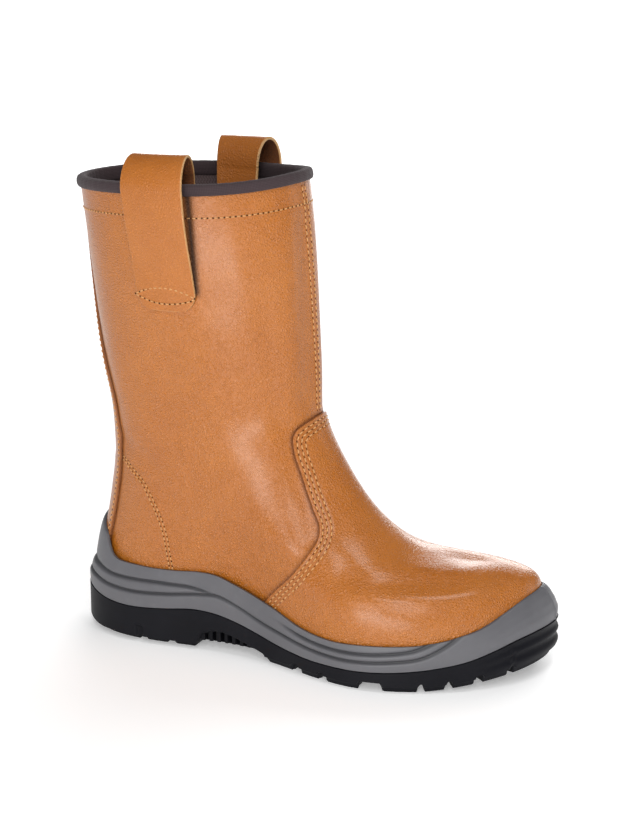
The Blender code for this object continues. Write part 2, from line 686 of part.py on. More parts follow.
def build_strap(name, parts, material):
    """Leather pull loop: outer leg, arch over the rim and inner leg."""
    rows = []
    twisted = STRAP_TWIST[name] * ((1.0 + STRAP_ACROSS) / 2.0) ** 1.5
    for level, out, twist, width in STRAP_OUTER_LEG:
        turn = strap_turns(name, level, width)
        rows.append(upper_offset(turn, np.full(STRAP_COLUMNS, level), out + twist * twisted))
    turn = strap_inner_turns(name)
    rim = np.full(STRAP_COLUMNS, RIM_LEVEL)
    outward = upper_normal(turn, rim) * (1.0, 1.0, 0.0)
    outward /= np.linalg.norm(outward, axis=-1, keepdims=True)
    start = rows[-1]
    end = upper_point(turn, rim) - outward * (LEATHER + STRAP_INNER_LEG[0, 1])
    centre = (start + end) / 2.0
    reach = (start - end) / 2.0
    for step in range(1, STRAP_LOOP_STEPS):
        bend = np.pi * step / STRAP_LOOP_STEPS
        lift = np.array((0.0, 0.0, STRAP_LOOP_HEIGHT * np.sin(bend)))
        rows.append(centre + reach * np.cos(bend) + lift)
    for depth, gap in STRAP_INNER_LEG:
        rows.append(upper_offset(turn, rim_level(turn, depth), np.full(STRAP_COLUMNS, -LEATHER - gap)))
    return sheet(name, np.stack(rows), False, STRAP_LEATHER, parts, material)


def build_insole(parts, material):
    """Footbed that fills the foot of the upper above the midsole's floor."""
    turn = angles()
    base = upper_point(turn, 0.0)[:, 2]
    rings = []
    for rise, bevel in ((0.0, 0.0), (INSOLE_THICKNESS - INSOLE_BEVEL, 0.0), (INSOLE_THICKNESS, INSOLE_BEVEL)):
        inward = LEATHER + INSOLE_CLEARANCE + bevel
        points = upper_offset(turn, np.full(AROUND, INSOLE_LEVEL), np.full(AROUND, -inward))
        points[:, 2] = base + rise
        rings.append(points)
    return capped_solid("insole", rings, parts, material)


def finish(name, colour, roughness):
    """Plain material of one colour."""
    material = bpy.data.materials.new(name)
    material.use_nodes = True
    shader = material.node_tree.nodes["Principled BSDF"]
    shader.inputs["Base Color"].default_value = (*colour, 1.0)
    shader.inputs["Roughness"].default_value = roughness
    return material


def main():
    """Build every piece of the boot."""
    for old in list(bpy.data.objects):
        bpy.data.objects.remove(old, do_unlink=True)
    parts = bpy.data.collections.new(BOOT_NAME)
    cutters = bpy.data.collections.new("cutters")
    for collection in (parts, cutters):
        bpy.context.scene.collection.children.link(collection)
    build_outsole(parts, cutters, finish("black_sole", (0.022, 0.021, 0.026), 0.6))
    build_midsole(parts, finish("grey_sole", (0.11, 0.11, 0.12), 0.55))
    build_upper(parts, finish("tan_leather", (0.56, 0.23, 0.085), 0.45))
    build_vamp(parts, cutters, finish("vamp_leather", (0.54, 0.22, 0.08), 0.42))
    build_backstay(parts, cutters, finish("backstay_leather", (0.52, 0.21, 0.078), 0.45))
    build_binding(parts, finish("dark_binding", (0.06, 0.045, 0.05), 0.8))
    for name in STRAP_RIM_ANGLE:
        build_strap(name, parts, finish(name + "_leather", (0.55, 0.23, 0.085), 0.5))
    build_insole(parts, finish("footbed", (0.05, 0.045, 0.045), 0.9))


main()
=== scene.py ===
"""Safety boot for the right foot: leather, stitching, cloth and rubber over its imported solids.

Sizes are millimetres in the boot's own frame: X from heel to toe, Y towards the inner side, Z up.
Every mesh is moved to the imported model's origin and turned into metres when it is made.
"""
import logging
import math
from collections.abc import Callable
from dataclasses import dataclass, field
from enum import Enum
from typing import Protocol, Union

import bmesh
import bpy
import numpy as np
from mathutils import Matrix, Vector

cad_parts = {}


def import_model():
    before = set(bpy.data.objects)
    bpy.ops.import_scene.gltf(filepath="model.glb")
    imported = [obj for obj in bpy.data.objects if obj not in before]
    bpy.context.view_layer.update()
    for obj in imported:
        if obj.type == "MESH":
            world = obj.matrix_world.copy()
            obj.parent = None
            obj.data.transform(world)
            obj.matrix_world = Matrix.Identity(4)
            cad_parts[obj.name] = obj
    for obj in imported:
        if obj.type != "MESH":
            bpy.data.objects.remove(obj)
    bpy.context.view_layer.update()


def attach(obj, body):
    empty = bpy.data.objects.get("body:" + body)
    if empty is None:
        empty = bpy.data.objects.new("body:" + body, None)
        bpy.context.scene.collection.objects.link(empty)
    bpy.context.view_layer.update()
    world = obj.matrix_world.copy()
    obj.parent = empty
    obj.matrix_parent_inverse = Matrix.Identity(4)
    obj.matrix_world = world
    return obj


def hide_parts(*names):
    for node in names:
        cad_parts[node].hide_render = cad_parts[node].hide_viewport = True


LOG = logging.getLogger("safety_boot")
MM = 0.001
TURN = 2.0 * np.pi
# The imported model's origin in the boot's own frame.
ORIGIN = (151.05, -1.51, 0.0)

Array = np.ndarray
Colour = tuple[float, float, float]
Table = tuple[tuple[float, ...], ...]
Height = Union[float, Callable[[Array], Array]]

# Thicknesses shared by several pieces, and the room left between them.
LEATHER = 2.2
OVERLAY = 1.4
SEAT = 0.35


class Side(Enum):
    """The two sides of the boot, valued by the sign of Y."""

    LATERAL = -1
    MEDIAL = 1


class Weave(Enum):
    """Ways in which a cloth's threads cross."""

    PLAIN = "plain"
    KNIT = "knit"


def through(knots: Array, values: Array, at: Array) -> Array:
    """Smooth curve through rows of values.

    Args:
        knots: Rising places of the rows.
        values: One row for each knot.
        at: Places to read, of any shape.

    Returns:
        A row for each place, along a new last axis.
    """
    values = np.asarray(values, dtype=float)
    step = np.diff(knots)
    slope = np.diff(values, axis=0) / step[:, None]
    tangent = np.empty_like(values)
    spread = (step[1:] + step[:-1])[:, None]
    tangent[1:-1] = (slope[:-1] * step[1:, None] + slope[1:] * step[:-1, None]) / spread
    tangent[0] = 1.5 * slope[0] - 0.5 * tangent[1]
    tangent[-1] = 1.5 * slope[-1] - 0.5 * tangent[-2]
    place = np.clip(np.searchsorted(knots, at, side="right") - 1, 0, len(knots) - 2)
    share = ((at - knots[place]) / step[place])[..., None]
    width = step[place][..., None]
    rest = 1.0 - share
    return (
        (1.0 + 2.0 * share) * rest**2 * values[place]
        + share * rest**2 * width * tangent[place]
        + share**2 * (3.0 - 2.0 * share) * values[place + 1]
        - share**2 * rest * width * tangent[place + 1]
    )


def column(table: Table, at: Array, index: int = 1) -> Array:
    """Smooth reading of one column of a table whose first column is the place."""
    rows = np.array(table)
    return through(rows[:, 0], rows[:, index:index + 1], np.asarray(at, dtype=float))[..., 0]


def ease(low: float, high: float, at: Array) -> Array:
    """Smooth step from 0 at low to 1 at high."""
    share = np.clip((np.asarray(at, dtype=float) - low) / (high - low), 0.0, 1.0)
    return share * share * (3.0 - 2.0 * share)


def bell(distance: Array, width: float) -> Array:
    """Soft hump of height 1 that fades over a width."""
    return np.exp(-((distance / width) ** 2))


def unit(vectors: Array) -> Array:
    """Vectors scaled to length 1."""
    return vectors / np.maximum(np.linalg.norm(vectors, axis=-1, keepdims=True), 1e-9)


def crowded(count: int) -> Array:
    """Shares from -1 to 1 that lie closer together towards both ends."""
    return np.sin(np.linspace(-np.pi / 2.0, np.pi / 2.0, count))


def edge_round(distance: Array, radius: float) -> Array:
    """Share of a sheet's height at a distance from its rounded edge."""
    rest = np.clip(1.0 - distance / radius, 0.0, 1.0)
    return np.sqrt(1.0 - rest * rest)


def gap_to(points: Array, line: Array) -> Array:
    """Distance from each point to the nearest part of a line.

    Args:
        points: Points in space, of any shape.
        line: Corners of the line, in order.

    Returns:
        One distance for each point.
    """
    best = np.full(points.shape[:-1], np.inf)
    for start, end in zip(line[:-1], line[1:]):
        along = end - start
        share = np.clip(((points - start) @ along) / max(along @ along, 1e-9), 0.0, 1.0)
        away = points - start - share[..., None] * along
        best = np.minimum(best, np.einsum("...i,...i->...", away, away))
    return np.sqrt(best)


def bisect(low: Array, high: Array, before: Callable[[Array], Array], steps: int = 40) -> tuple[Array, Array]:
    """Close in on the places where a test turns from true to false.

    Args:
        low: Places before the turn.
        high: Places past it.
        before: Test of places, true before the turn.
        steps: Number of halvings.

    Returns:
        Places just before the turn and just past it.
    """
    for _ in range(steps):
        middle = (low + high) / 2.0
        early = before(middle)
        low = np.where(early, middle, low)
        high = np.where(early, high, middle)
    return low, high


@dataclass(frozen=True)
class Crease:
    """Soft fold of the leather along a path over the upper.

    A place of the path is an angle in degrees and a level; rise is negative for a trough.
    """

    path: Table
    width: float
    rise: float


@dataclass
class Last:
    """Form of the foot, shaft and sole on which every piece is laid.

    A place on the upper is an angle, which runs from the back over the outer side to the toe and on
    round the inner side, and a level, which runs from the edge inside the sole up to the rim.
    """

    length: float = 302.0
    rim: float = 11.0
    nearby: float = 0.01
    station_share: tuple[float, ...] = (0.03, 0.12, 0.40, 0.70, 0.92, 0.98)
    # Back x, z, front x, z and dip of each ring, then its half-width at each station.
    rings: Table = (
        (10.0, 28.0, 289.5, 28.0, 12.0, 20.5, 30.0, 30.0, 50.0, 33.0, 17.6),
        (10.0, 44.0, 292.1, 43.2, 8.0, 21.5, 32.0, 33.0, 51.0, 35.0, 18.8),
        (12.6, 60.0, 287.2, 59.3, 4.0, 21.5, 33.0, 34.5, 46.8, 28.7, 14.3),
        (17.2, 77.0, 260.2, 62.8, 0.0, 21.0, 33.0, 36.0, 38.6, 20.2, 12.0),
        (20.0, 94.0, 225.6, 68.7, 0.0, 19.5, 32.0, 37.0, 38.4, 22.6, 11.3),
        (22.6, 112.0, 195.7, 88.9, 0.0, 18.0, 31.0, 38.0, 35.6, 20.2, 10.1),
        (22.2, 130.0, 173.4, 118.4, 0.0, 16.8, 30.5, 39.0, 35.2, 19.8, 9.9),
        (20.6, 150.0, 158.6, 147.5, 0.0, 16.0, 30.5, 40.5, 36.5, 21.0, 10.6),
        (15.0, 175.0, 157.3, 176.6, 0.0, 15.9, 31.0, 43.0, 40.0, 23.0, 11.7),
        (9.4, 215.0, 154.7, 219.3, 1.0, 16.7, 32.2, 48.4, 44.8, 26.2, 13.4),
        (5.2, 252.0, 152.0, 257.7, 2.0, 17.7, 34.3, 51.6, 48.2, 28.1, 14.4),
        (1.2, 286.3, 147.4, 295.2, 2.4, 18.3, 35.4, 53.2, 49.8, 29.3, 14.9),
    )
    # Each ring is blended with its neighbours over so many levels, so that no bend shows at a ring.
    blend: Table = (
        (0.0, 0.0), (1.0, 0.0), (2.0, 0.16), (2.6, 0.34),
        (3.4, 0.38), (4.2, 0.25), (10.0, 0.2), (11.0, 0.0),
    )
    blend_steps: Table = ((-2.0, 0.0625), (-1.0, 0.25), (0.0, 0.375), (1.0, 0.25), (2.0, 0.0625))
    sole_ring: tuple[float, ...] = (0.0, 0.0, 302.0, 0.0, 0.0, 22.5, 36.5, 34.5, 55.5, 37.5, 21.0)
    swing: Table = (
        (-20.0, 0.0), (0.0, 0.0), (60.0, 0.0), (121.0, -2.0),
        (211.0, -2.5), (265.0, 7.5), (302.0, 19.0), (330.0, 28.0),
    )
    # Along x: outsole floor, line between outsole and midsole, top of the bands, top of the lip.
    sole_lines: Table = (
        (0.0, 17.0, 28.0, 54.0, 73.0), (9.0, 17.0, 27.0, 53.5, 67.5), (14.5, 17.0, 25.7, 52.9, 63.2),
        (17.5, 17.0, 25.0, 52.2, 58.4), (20.5, 17.0, 24.4, 51.4, 54.2), (25.0, 17.0, 23.6, 50.5, 51.4),
        (32.0, 17.0, 22.9, 49.8, 50.0), (43.0, 17.1, 22.6, 49.2, 49.2), (68.0, 17.5, 24.0, 49.4, 49.4),
        (88.0, 18.0, 25.8, 50.8, 50.8), (101.0, 17.4, 24.8, 50.2, 50.2), (116.0, 16.0, 21.5, 46.3, 46.3),
        (128.5, 13.8, 18.0, 42.4, 42.4), (146.5, 10.8, 13.6, 36.8, 36.8), (166.0, 9.2, 11.2, 30.5, 30.5),
        (190.0, 8.9, 11.0, 27.3, 27.3), (211.0, 9.0, 11.5, 27.7, 27.7), (230.0, 9.8, 12.7, 28.4, 28.4),
        (250.0, 11.1, 15.1, 30.0, 30.0), (268.0, 13.7, 19.0, 34.1, 34.1), (280.0, 16.2, 23.9, 38.6, 38.6),
        (290.0, 18.5, 28.5, 45.2, 45.2), (297.0, 19.8, 30.8, 50.0, 50.0), (302.0, 20.5, 32.0, 52.6, 52.6),
    )
    # Edge of the heel counter under the leather, as level and angle.
    counter: Table = (
        (0.0, 55.5), (1.31, 55.0), (1.86, 54.2), (3.18, 53.8), (4.04, 52.5), (4.42, 50.5), (4.74, 47.5),
        (5.01, 40.2), (5.21, 32.0), (5.26, 25.0),
    )
    counter_rise: float = 0.45
    counter_slope: float = 3.0
    counter_top: tuple[float, float] = (5.0, 5.4)
    # A level above the sole's lip, where a search for its height ends.
    foot_top: float = 5.0
    # The lateral panel laps over the other one down the front, in degrees.
    lap_from: float = 172.0
    lap_edge: float = 186.6
    lap_slope: float = 8.0
    lap_step: float = 0.5
    lap_levels: tuple[float, float] = (7.0, 7.4)
    lap_rise: float = 0.9
    # Down the front of the shaft and beside the vamp's seam, round the ankle and heel, down the inner
    # side, then over the vamp, round the toe cap and over its dome.
    creases: tuple[Crease, ...] = (
        Crease(((172.0, 10.2), (163.0, 7.6)), 6.5, -1.0),
        Crease(((158.0, 10.2), (149.0, 7.5)), 9.0, 0.8),
        Crease(
            (
                (138.0, 9.0), (139.5, 7.7), (142.0, 6.9), (136.5, 6.0), (132.5, 5.3), (125.0, 4.6),
                (114.0, 4.0),
            ),
            6.0, -0.7,
        ),
        Crease(((122.0, 6.2), (104.0, 4.0)), 16.0, 0.9),
        Crease(((112.0, 8.6), (108.0, 6.2)), 15.0, 0.7),
        Crease(((86.0, 8.3), (84.0, 5.4)), 13.0, -0.7),
        Crease(((48.0, 9.6), (46.0, 7.0)), 12.0, 0.5),
        Crease(((35.0, 6.0), (57.0, 5.5)), 5.5, -0.8),
        Crease(((215.0, 9.8), (222.0, 7.4)), 11.0, -0.9),
        Crease(((238.0, 9.5), (243.0, 6.5)), 13.0, 0.7),
        Crease(((222.0, 6.7), (240.0, 4.3)), 6.0, -0.9),
        Crease(((285.0, 8.8), (280.0, 6.0)), 13.0, 0.6),
        Crease(((320.0, 6.0), (301.0, 5.5)), 6.0, -0.8),
        Crease(((127.0, 3.9), (122.0, 2.9)), 9.0, 0.55),
        Crease(((112.0, 2.6), (128.0, 2.45), (144.0, 2.32), (160.0, 2.22)), 9.0, -1.7),
        Crease(((248.0, 2.6), (236.0, 2.48), (226.0, 2.4)), 9.0, -1.5),
        Crease(((158.0, 2.75), (174.0, 2.7), (190.0, 2.65), (206.0, 2.65), (218.0, 2.7)), 15.0, 1.8),
    )
    crease_steps: int = 6
    walk_steps: int = 5
    # Folds die out this far above the sole's lip, and between these levels below the rim.
    calm_above_lip: tuple[float, float] = (1.0, 14.0)
    calm_levels: tuple[float, float] = (10.3, 10.75)

    def __post_init__(self) -> None:
        """Keep the tables as arrays."""
        self.rows = np.array(self.rings)
        self.levels = np.arange(len(self.rings), dtype=float)
        self.stations = np.arccos(1.0 - 2.0 * np.array(self.station_share))

    def ring(self, rows: Array, angle: Array) -> Array:
        """Points of rings at the given angles.

        Args:
            rows: Ring sizes, one row for each angle.
            angle: Angles from 0 to a full turn.

        Returns:
            One point for each angle.
        """
        fold = np.minimum(angle, TURN - angle)
        side = np.where(angle <= np.pi, -1.0, 1.0)
        first, last = self.stations[0], self.stations[-1]
        knots = np.concatenate(([-first], self.stations, [TURN - last]))
        weights = np.eye(len(self.stations))
        weights = through(knots, np.vstack((weights[:1], weights, weights[-1:])), fold)
        half = np.sin(fold) * np.sum(weights * rows[..., 5:] / np.sin(self.stations), axis=-1)
        share = (1.0 - np.cos(fold)) / 2.0
        x = rows[..., 0] + (rows[..., 2] - rows[..., 0]) * share
        # The dip's curve is scaled by its highest value, 27 / 256 at three quarters of the way.
        dip = rows[..., 4] * 256.0 / 27.0 * share**3 * (1.0 - share)
        z = rows[..., 1] + (rows[..., 3] - rows[..., 1]) * share - dip
        return np.stack((x, column(self.swing, x) + side * half, z), axis=-1)

    def sizes(self, level: Array) -> Array:
        """Ring sizes at levels, blended with those close by."""
        spread = np.interp(level, *np.array(self.blend).T)
        near = [
            share * through(self.levels, self.rows, level + step * spread) for step, share in self.blend_steps
        ]
        return np.sum(near, axis=0)

    def point(self, angle: Array, level: Array) -> Array:
        """Outer face of the upper, without folds."""
        angle, level = np.broadcast_arrays(np.asarray(angle, float), np.asarray(level, float))
        return self.ring(self.sizes(level), np.mod(angle, TURN))

    def tangents(self, angle: Array, level: Array) -> tuple[Array, Array]:
        """Steps in space for a unit of angle and for a unit of level."""
        near = self.nearby
        round_it = self.point(angle + near, level) - self.point(angle - near, level)
        up_it = self.point(angle, level + near) - self.point(angle, level - near)
        return round_it / (2.0 * near), up_it / (2.0 * near)

    def normal(self, angle: Array, level: Array) -> Array:
        """Outward direction of the upper's outer face."""
        return unit(np.cross(*self.tangents(angle, level)))

    def offset(self, angle: Array, level: Array, out: Array) -> Array:
        """The plain outer face moved outward, or inward where out is negative."""
        out = np.broadcast_to(out, np.broadcast(angle, level).shape)
        return self.point(angle, level) + self.normal(angle, level) * out[..., None]

    def relief(self, angle: Array, level: Array) -> Array:
        """Height of the leather's folds, counter and front lap over the plain outer face.

        Args:
            angle: Angles of the places.
            level: Levels of the places.

        Returns:
            Outward heights, 0 inside the sole and under the binding.
        """
        points = self.point(angle, level)
        height = np.zeros(points.shape[:-1])
        for crease in self.creases:
            knots = np.arange(len(crease.path))
            fine = np.linspace(0.0, knots[-1], self.crease_steps * knots[-1] + 1)
            turns, steps = (np.interp(fine, knots, row) for row in np.array(crease.path).T)
            height += crease.rise * bell(gap_to(points, self.point(np.radians(turns), steps)), crease.width)
        degrees = np.degrees(np.mod(angle, TURN))
        fold = np.minimum(degrees, 360.0 - degrees)
        edge = column(self.counter, np.clip(level, 0.0, self.counter[-1][0]))
        inside = 1.0 - ease(-self.counter_slope, self.counter_slope, fold - edge)
        height += self.counter_rise * inside * (1.0 - ease(*self.counter_top, level))
        lap = ease(self.lap_from, self.lap_from + self.lap_slope, degrees)
        lap = lap * (1.0 - ease(self.lap_edge - self.lap_step, self.lap_edge + self.lap_step, degrees))
        height += self.lap_rise * lap * ease(*self.lap_levels, level)
        lip = column(self.sole_lines, np.clip(points[..., 0], 0.0, self.length), 4)
        free = ease(*self.calm_above_lip, points[..., 2] - lip)
        return height * free * (1.0 - ease(*self.calm_levels, level))

    def skin(self, angle: Array, level: Array, out: Array = 0.0) -> Array:
        """The outer face with its folds, moved outward."""
        return self.offset(angle, level, out + self.relief(angle, level))

    def rim_level(self, angle: Array, depth: Array) -> Array:
        """Level of the upper at a depth below its rim."""
        top = self.point(angle, self.rim)[..., 2]
        return self.rim - depth / (top - self.point(angle, self.rim - 1.0)[..., 2])

    def level_at(self, angle: Array, height: Array) -> Array:
        """Level at which each angle of the foot reaches a height."""
        low = np.zeros_like(angle)
        return bisect(low, low + self.foot_top, lambda level: self.point(angle, level)[..., 2] < height)[0]

    def walk(self, angle: Array, level: Array, move: Array) -> tuple[Array, Array]:
        """Places reached by moves in space that are laid back on the surface.

        Args:
            angle: Angles of the starting places.
            level: Levels of the starting places.
            move: One move in space for each place.

        Returns:
            Angles and levels of the places reached.
        """
        target = self.point(angle, level) + move
        for _ in range(self.walk_steps):
            round_it, up_it = self.tangents(angle, level)
            rest = target - self.point(angle, level)
            across = np.sum(round_it * up_it, axis=-1)
            wide = np.sum(round_it * round_it, axis=-1)
            high = np.sum(up_it * up_it, axis=-1)
            pull_round = np.sum(round_it * rest, axis=-1)
            pull_up = np.sum(up_it * rest, axis=-1)
            scale = wide * high - across * across
            angle = angle + (pull_round * high - pull_up * across) / scale
            level = np.clip(level + (pull_up * wide - pull_round * across) / scale, 0.0, self.rim)
        return angle, level

    def parallel(self, angle: Array, level: Array, shift: float) -> tuple[Array, Array]:
        """Path beside another one on the surface, to the right of its run seen from outside."""
        along = unit(np.gradient(self.point(angle, level), axis=0))
        sideways = np.cross(along, self.normal(angle, level))
        return self.walk(angle, level, sideways * shift)

    def spaced(self, angle: Array, level: Array, pitch: float) -> tuple[Array, Array]:
        """Places along a path at an even pitch."""
        steps = np.linalg.norm(np.diff(self.point(angle, level), axis=0), axis=-1)
        run = np.concatenate(([0.0], np.cumsum(steps)))
        at = np.linspace(0.0, run[-1], max(int(round(run[-1] / pitch)), 1) + 1)
        return np.interp(at, run, angle), np.interp(at, run, level)

    def outline(self, angle: Array, inset: Array = 0.0) -> tuple[Array, Array]:
        """The sole's outline and the level direction out of it.

        Args:
            angle: Angles round the outline.
            inset: Distance by which the outline is moved in.

        Returns:
            Points at height 0, and unit directions outward.
        """
        rows = np.broadcast_to(self.sole_ring, (len(angle), len(self.sole_ring)))
        near = self.nearby
        along = self.ring(rows, np.mod(angle + near, TURN)) - self.ring(rows, np.mod(angle - near, TURN))
        outward = unit(np.stack((along[:, 1], -along[:, 0], np.zeros(len(angle))), axis=-1))
        points = self.ring(rows, np.mod(angle, TURN))
        points = points - outward * np.broadcast_to(inset, (len(angle),))[:, None]
        points[:, 2] = 0.0
        return points, outward

    def level_ring(self, angle: Array, inset: Array, height: Array) -> Array:
        """The sole's outline moved in and lifted to a height."""
        points, _ = self.outline(angle, inset)
        points[:, 2] = height
        return points


@dataclass
class Shell:
    """Points, quads and painted masks of one mesh."""

    points: Array
    faces: Array
    masks: dict[str, Array] = field(default_factory=dict)


def quads_of(index: Array) -> Array:
    """Quads between neighbouring numbers of a grid of point numbers."""
    corners = (index[:-1, :-1], index[:-1, 1:], index[1:, 1:], index[1:, :-1])
    return np.stack(corners, axis=-1).reshape(-1, 4)


def grid_faces(rows: int, columns: int, wrap: bool = False, closed: bool = False) -> Array:
    """Quads between neighbouring points of a grid.

    Args:
        rows: Number of rows.
        columns: Number of points in a row.
        wrap: Whether each row runs back to its first point.
        closed: Whether the last row runs on to the first.

    Returns:
        Four point numbers for each quad.
    """
    index = np.arange(rows * columns).reshape(rows, columns)
    if wrap:
        index = np.hstack((index, index[:, :1]))
    if closed:
        index = np.vstack((index, index[:1]))
    return quads_of(index)


def slab(top: Array, bottom: Array) -> tuple[Array, Array]:
    """Closed body between two grids of the same size.

    Args:
        top: Grid of points.
        bottom: Grid of points under it.

    Returns:
        All the points, the top ones first, and the quads.
    """
    rows, columns = top.shape[:2]
    index = np.arange(rows * columns).reshape(rows, columns)
    border = np.concatenate((index[0, :-1], index[:-1, -1], index[-1, :0:-1], index[:0:-1, 0]))
    ahead = np.roll(border, -1)
    under = rows * columns
    walls = np.stack((border, ahead, ahead + under, border + under), axis=-1)
    sheet = grid_faces(rows, columns)
    points = np.concatenate((top.reshape(-1, 3), bottom.reshape(-1, 3)))
    return points, np.concatenate((sheet, sheet[:, ::-1] + under, walls))


def rungs(base: int, size: int) -> Array:
    """Quads straight across a ring, from its outer half to its inner half.

    Args:
        base: Number of the ring's first point, in the middle of the back.
        size: Even number of points in the ring.

    Returns:
        Four point numbers for each quad; the two end ones have a point twice.
    """
    step = np.arange(size // 2)
    inner = (size - step) % size
    return base + np.stack((step, step + 1, size - step - 1, inner), axis=-1)


def tube(points: Array, masks: dict[str, Array]) -> Shell:
    """Shell of rings that follow one another and close on the first."""
    return Shell(points.reshape(-1, 3), grid_faces(*points.shape[:2], True, True), masks)


def capped(points: Array) -> Array:
    """Quads of a stack of rings, closed across its first and last ring."""
    count, size = points.shape[:2]
    return np.concatenate((grid_faces(count, size, True), rungs(0, size), rungs((count - 1) * size, size)))


def copies(quads: Array, count: int, block: int) -> Array:
    """Quads of many like bodies in a row, each with a block of points."""
    return (quads[None] + (np.arange(count) * block)[:, None, None]).reshape(-1, 4)


Term = Union["Value", float, Colour]


class Value:
    """Socket of a shader node that takes part in Python arithmetic."""

    def __init__(self, shade: "Shade", socket: bpy.types.NodeSocket) -> None:
        """Remember the socket and the shader it belongs to."""
        self.shade = shade
        self.socket = socket

    @property
    def spatial(self) -> bool:
        """Whether the socket carries a vector or a colour."""
        return self.socket.type in {"VECTOR", "RGBA"}

    def __add__(self, other: Term) -> "Value":
        """Sum."""
        return self.shade.math("ADD", self, other)

    def __radd__(self, other: Term) -> "Value":
        """Sum with a number on the left."""
        return self.shade.math("ADD", other, self)

    def __sub__(self, other: Term) -> "Value":
        """Difference."""
        return self.shade.math("SUBTRACT", self, other)

    def __rsub__(self, other: Term) -> "Value":
        """Difference from a number on the left."""
        return self.shade.math("SUBTRACT", other, self)

    def __mul__(self, other: Term) -> "Value":
        """Product."""
        return self.shade.math("MULTIPLY", self, other)

    def __rmul__(self, other: Term) -> "Value":
        """Product with a number on the left."""
        return self.shade.math("MULTIPLY", other, self)

    def __abs__(self) -> "Value":
        """Size without sign."""
        return self.shade.math("ABSOLUTE", self)

    def sine(self) -> "Value":
        """Sine of an angle in radians."""
        return self.shade.math("SINE", self)

    def least(self, other: Term) -> "Value":
        """The smaller of two values."""
        return self.shade.math("MINIMUM", self, other)

    def most(self, other: Term) -> "Value":
        """The larger of two values."""
        return self.shade.math("MAXIMUM", self, other)

    def ramp(self, low: float, high: float) -> "Value":
        """Smooth step from 0 at low to 1 at high."""
        settings = {"interpolation_type": "SMOOTHSTEP"}
        inputs = {"Value": self, "From Min": low, "From Max": high}
        return self.shade.node("ShaderNodeMapRange", settings, inputs)

    def part(self, axis: str) -> "Value":
        """One of the X, Y and Z parts of a vector."""
        return self.shade.node("ShaderNodeSeparateXYZ", None, {"Vector": self}, axis)


class Shade:
    """Material under construction, with its nodes made through one method."""

    def __init__(self, name: str) -> None:
        """Start a material with a principled shader.

        Args:
            name: Name of the material.
        """
        self.material = bpy.data.materials.new(name)
        self.material.use_nodes = True
        self.tree = self.material.node_tree
        self.principled = self.tree.nodes["Principled BSDF"]

    def node(
        self,
        kind: str,
        settings: dict[str, object] | None = None,
        inputs: dict[str | int, Term] | None = None,
        output: str | int = 0,
    ) -> Value:
        """Make a node.

        Args:
            kind: Type of the node.
            settings: Its properties, set first.
            inputs: Values or links for its input sockets.
            output: Socket to give back.

        Returns:
            The chosen output.
        """
        made = self.tree.nodes.new(kind)
        for key, setting in (settings or {}).items():
            setattr(made, key, setting)
        for key, term in (inputs or {}).items():
            self.feed(made.inputs[key], term)
        return Value(self, made.outputs[output])

    def feed(self, socket: bpy.types.NodeSocket, term: Term) -> None:
        """Link a value to a socket, or set the socket to a number or colour."""
        if isinstance(term, Value):
            self.tree.links.new(term.socket, socket)
        elif socket.type == "RGBA" and not isinstance(term, float):
            socket.default_value = (*term, 1.0)
        else:
            socket.default_value = term

    def math(self, operation: str, first: Term, second: Term | None = None) -> Value:
        """Arithmetic on numbers, or on vectors and colours.

        Args:
            operation: Name of the operation.
            first: First term.
            second: Second term, where there is one.

        Returns:
            The result.
        """
        terms = [first] if second is None else [first, second]
        spatial = [term.spatial if isinstance(term, Value) else isinstance(term, tuple) for term in terms]
        if not any(spatial):
            return self.node("ShaderNodeMath", {"operation": operation}, dict(enumerate(terms)))
        if operation == "MULTIPLY" and not all(spatial):
            vector, number = terms if spatial[0] else terms[::-1]
            return self.node("ShaderNodeVectorMath", {"operation": "SCALE"}, {0: vector, "Scale": number})
        spread = [term if isinstance(term, (Value, tuple)) else (term,) * 3 for term in terms]
        return self.node("ShaderNodeVectorMath", {"operation": operation}, dict(enumerate(spread)))

    def mix(self, mask: Term, first: Term, second: Term) -> Value:
        """Colour that goes from the first to the second as the mask rises."""
        settings = {"data_type": "RGBA", "clamp_factor": True}
        return self.node("ShaderNodeMix", settings, {0: mask, 6: first, 7: second}, 2)

    def place(self) -> Value:
        """Place on the object, in metres."""
        return self.node("ShaderNodeTexCoord", output="Object")

    def mask(self, name: str) -> Value:
        """Painted mask of the mesh."""
        return self.node("ShaderNodeAttribute", {"attribute_name": name}, output="Fac")

    def run(self, name: str) -> Value:
        """Painted vector of the mesh."""
        return self.node("ShaderNodeAttribute", {"attribute_name": name}, output="Vector")

    def noise(self, place: Value, scale: float, detail: float = 2.0, output: str = "Fac") -> Value:
        """Noise with so many cells to the metre."""
        inputs = {"Vector": place, "Scale": scale, "Detail": detail}
        return self.node("ShaderNodeTexNoise", None, inputs, output)

    def cells(self, place: Value, scale: float) -> Value:
        """Distance to the border of irregular cells, with so many cells to the metre."""
        settings = {"feature": "DISTANCE_TO_EDGE"}
        return self.node("ShaderNodeTexVoronoi", settings, {"Vector": place, "Scale": scale}, "Distance")

    def bump(self, height: Value, depth: float) -> Value:
        """Normal that follows a height from 0 to 1, which stands for a depth in millimetres."""
        return self.node("ShaderNodeBump", None, {"Height": height, "Strength": 1.0, "Distance": depth * MM})

    def finish(self, inputs: dict[str, Term]) -> bpy.types.Material:
        """Feed the principled shader and give back the material."""
        for key, term in inputs.items():
            self.feed(self.principled.inputs[key], term)
        return self.material


class Finish(Protocol):
    """Anything with a name that can build a material."""

    name: str

    def build(self) -> bpy.types.Material:
        """Make the material."""


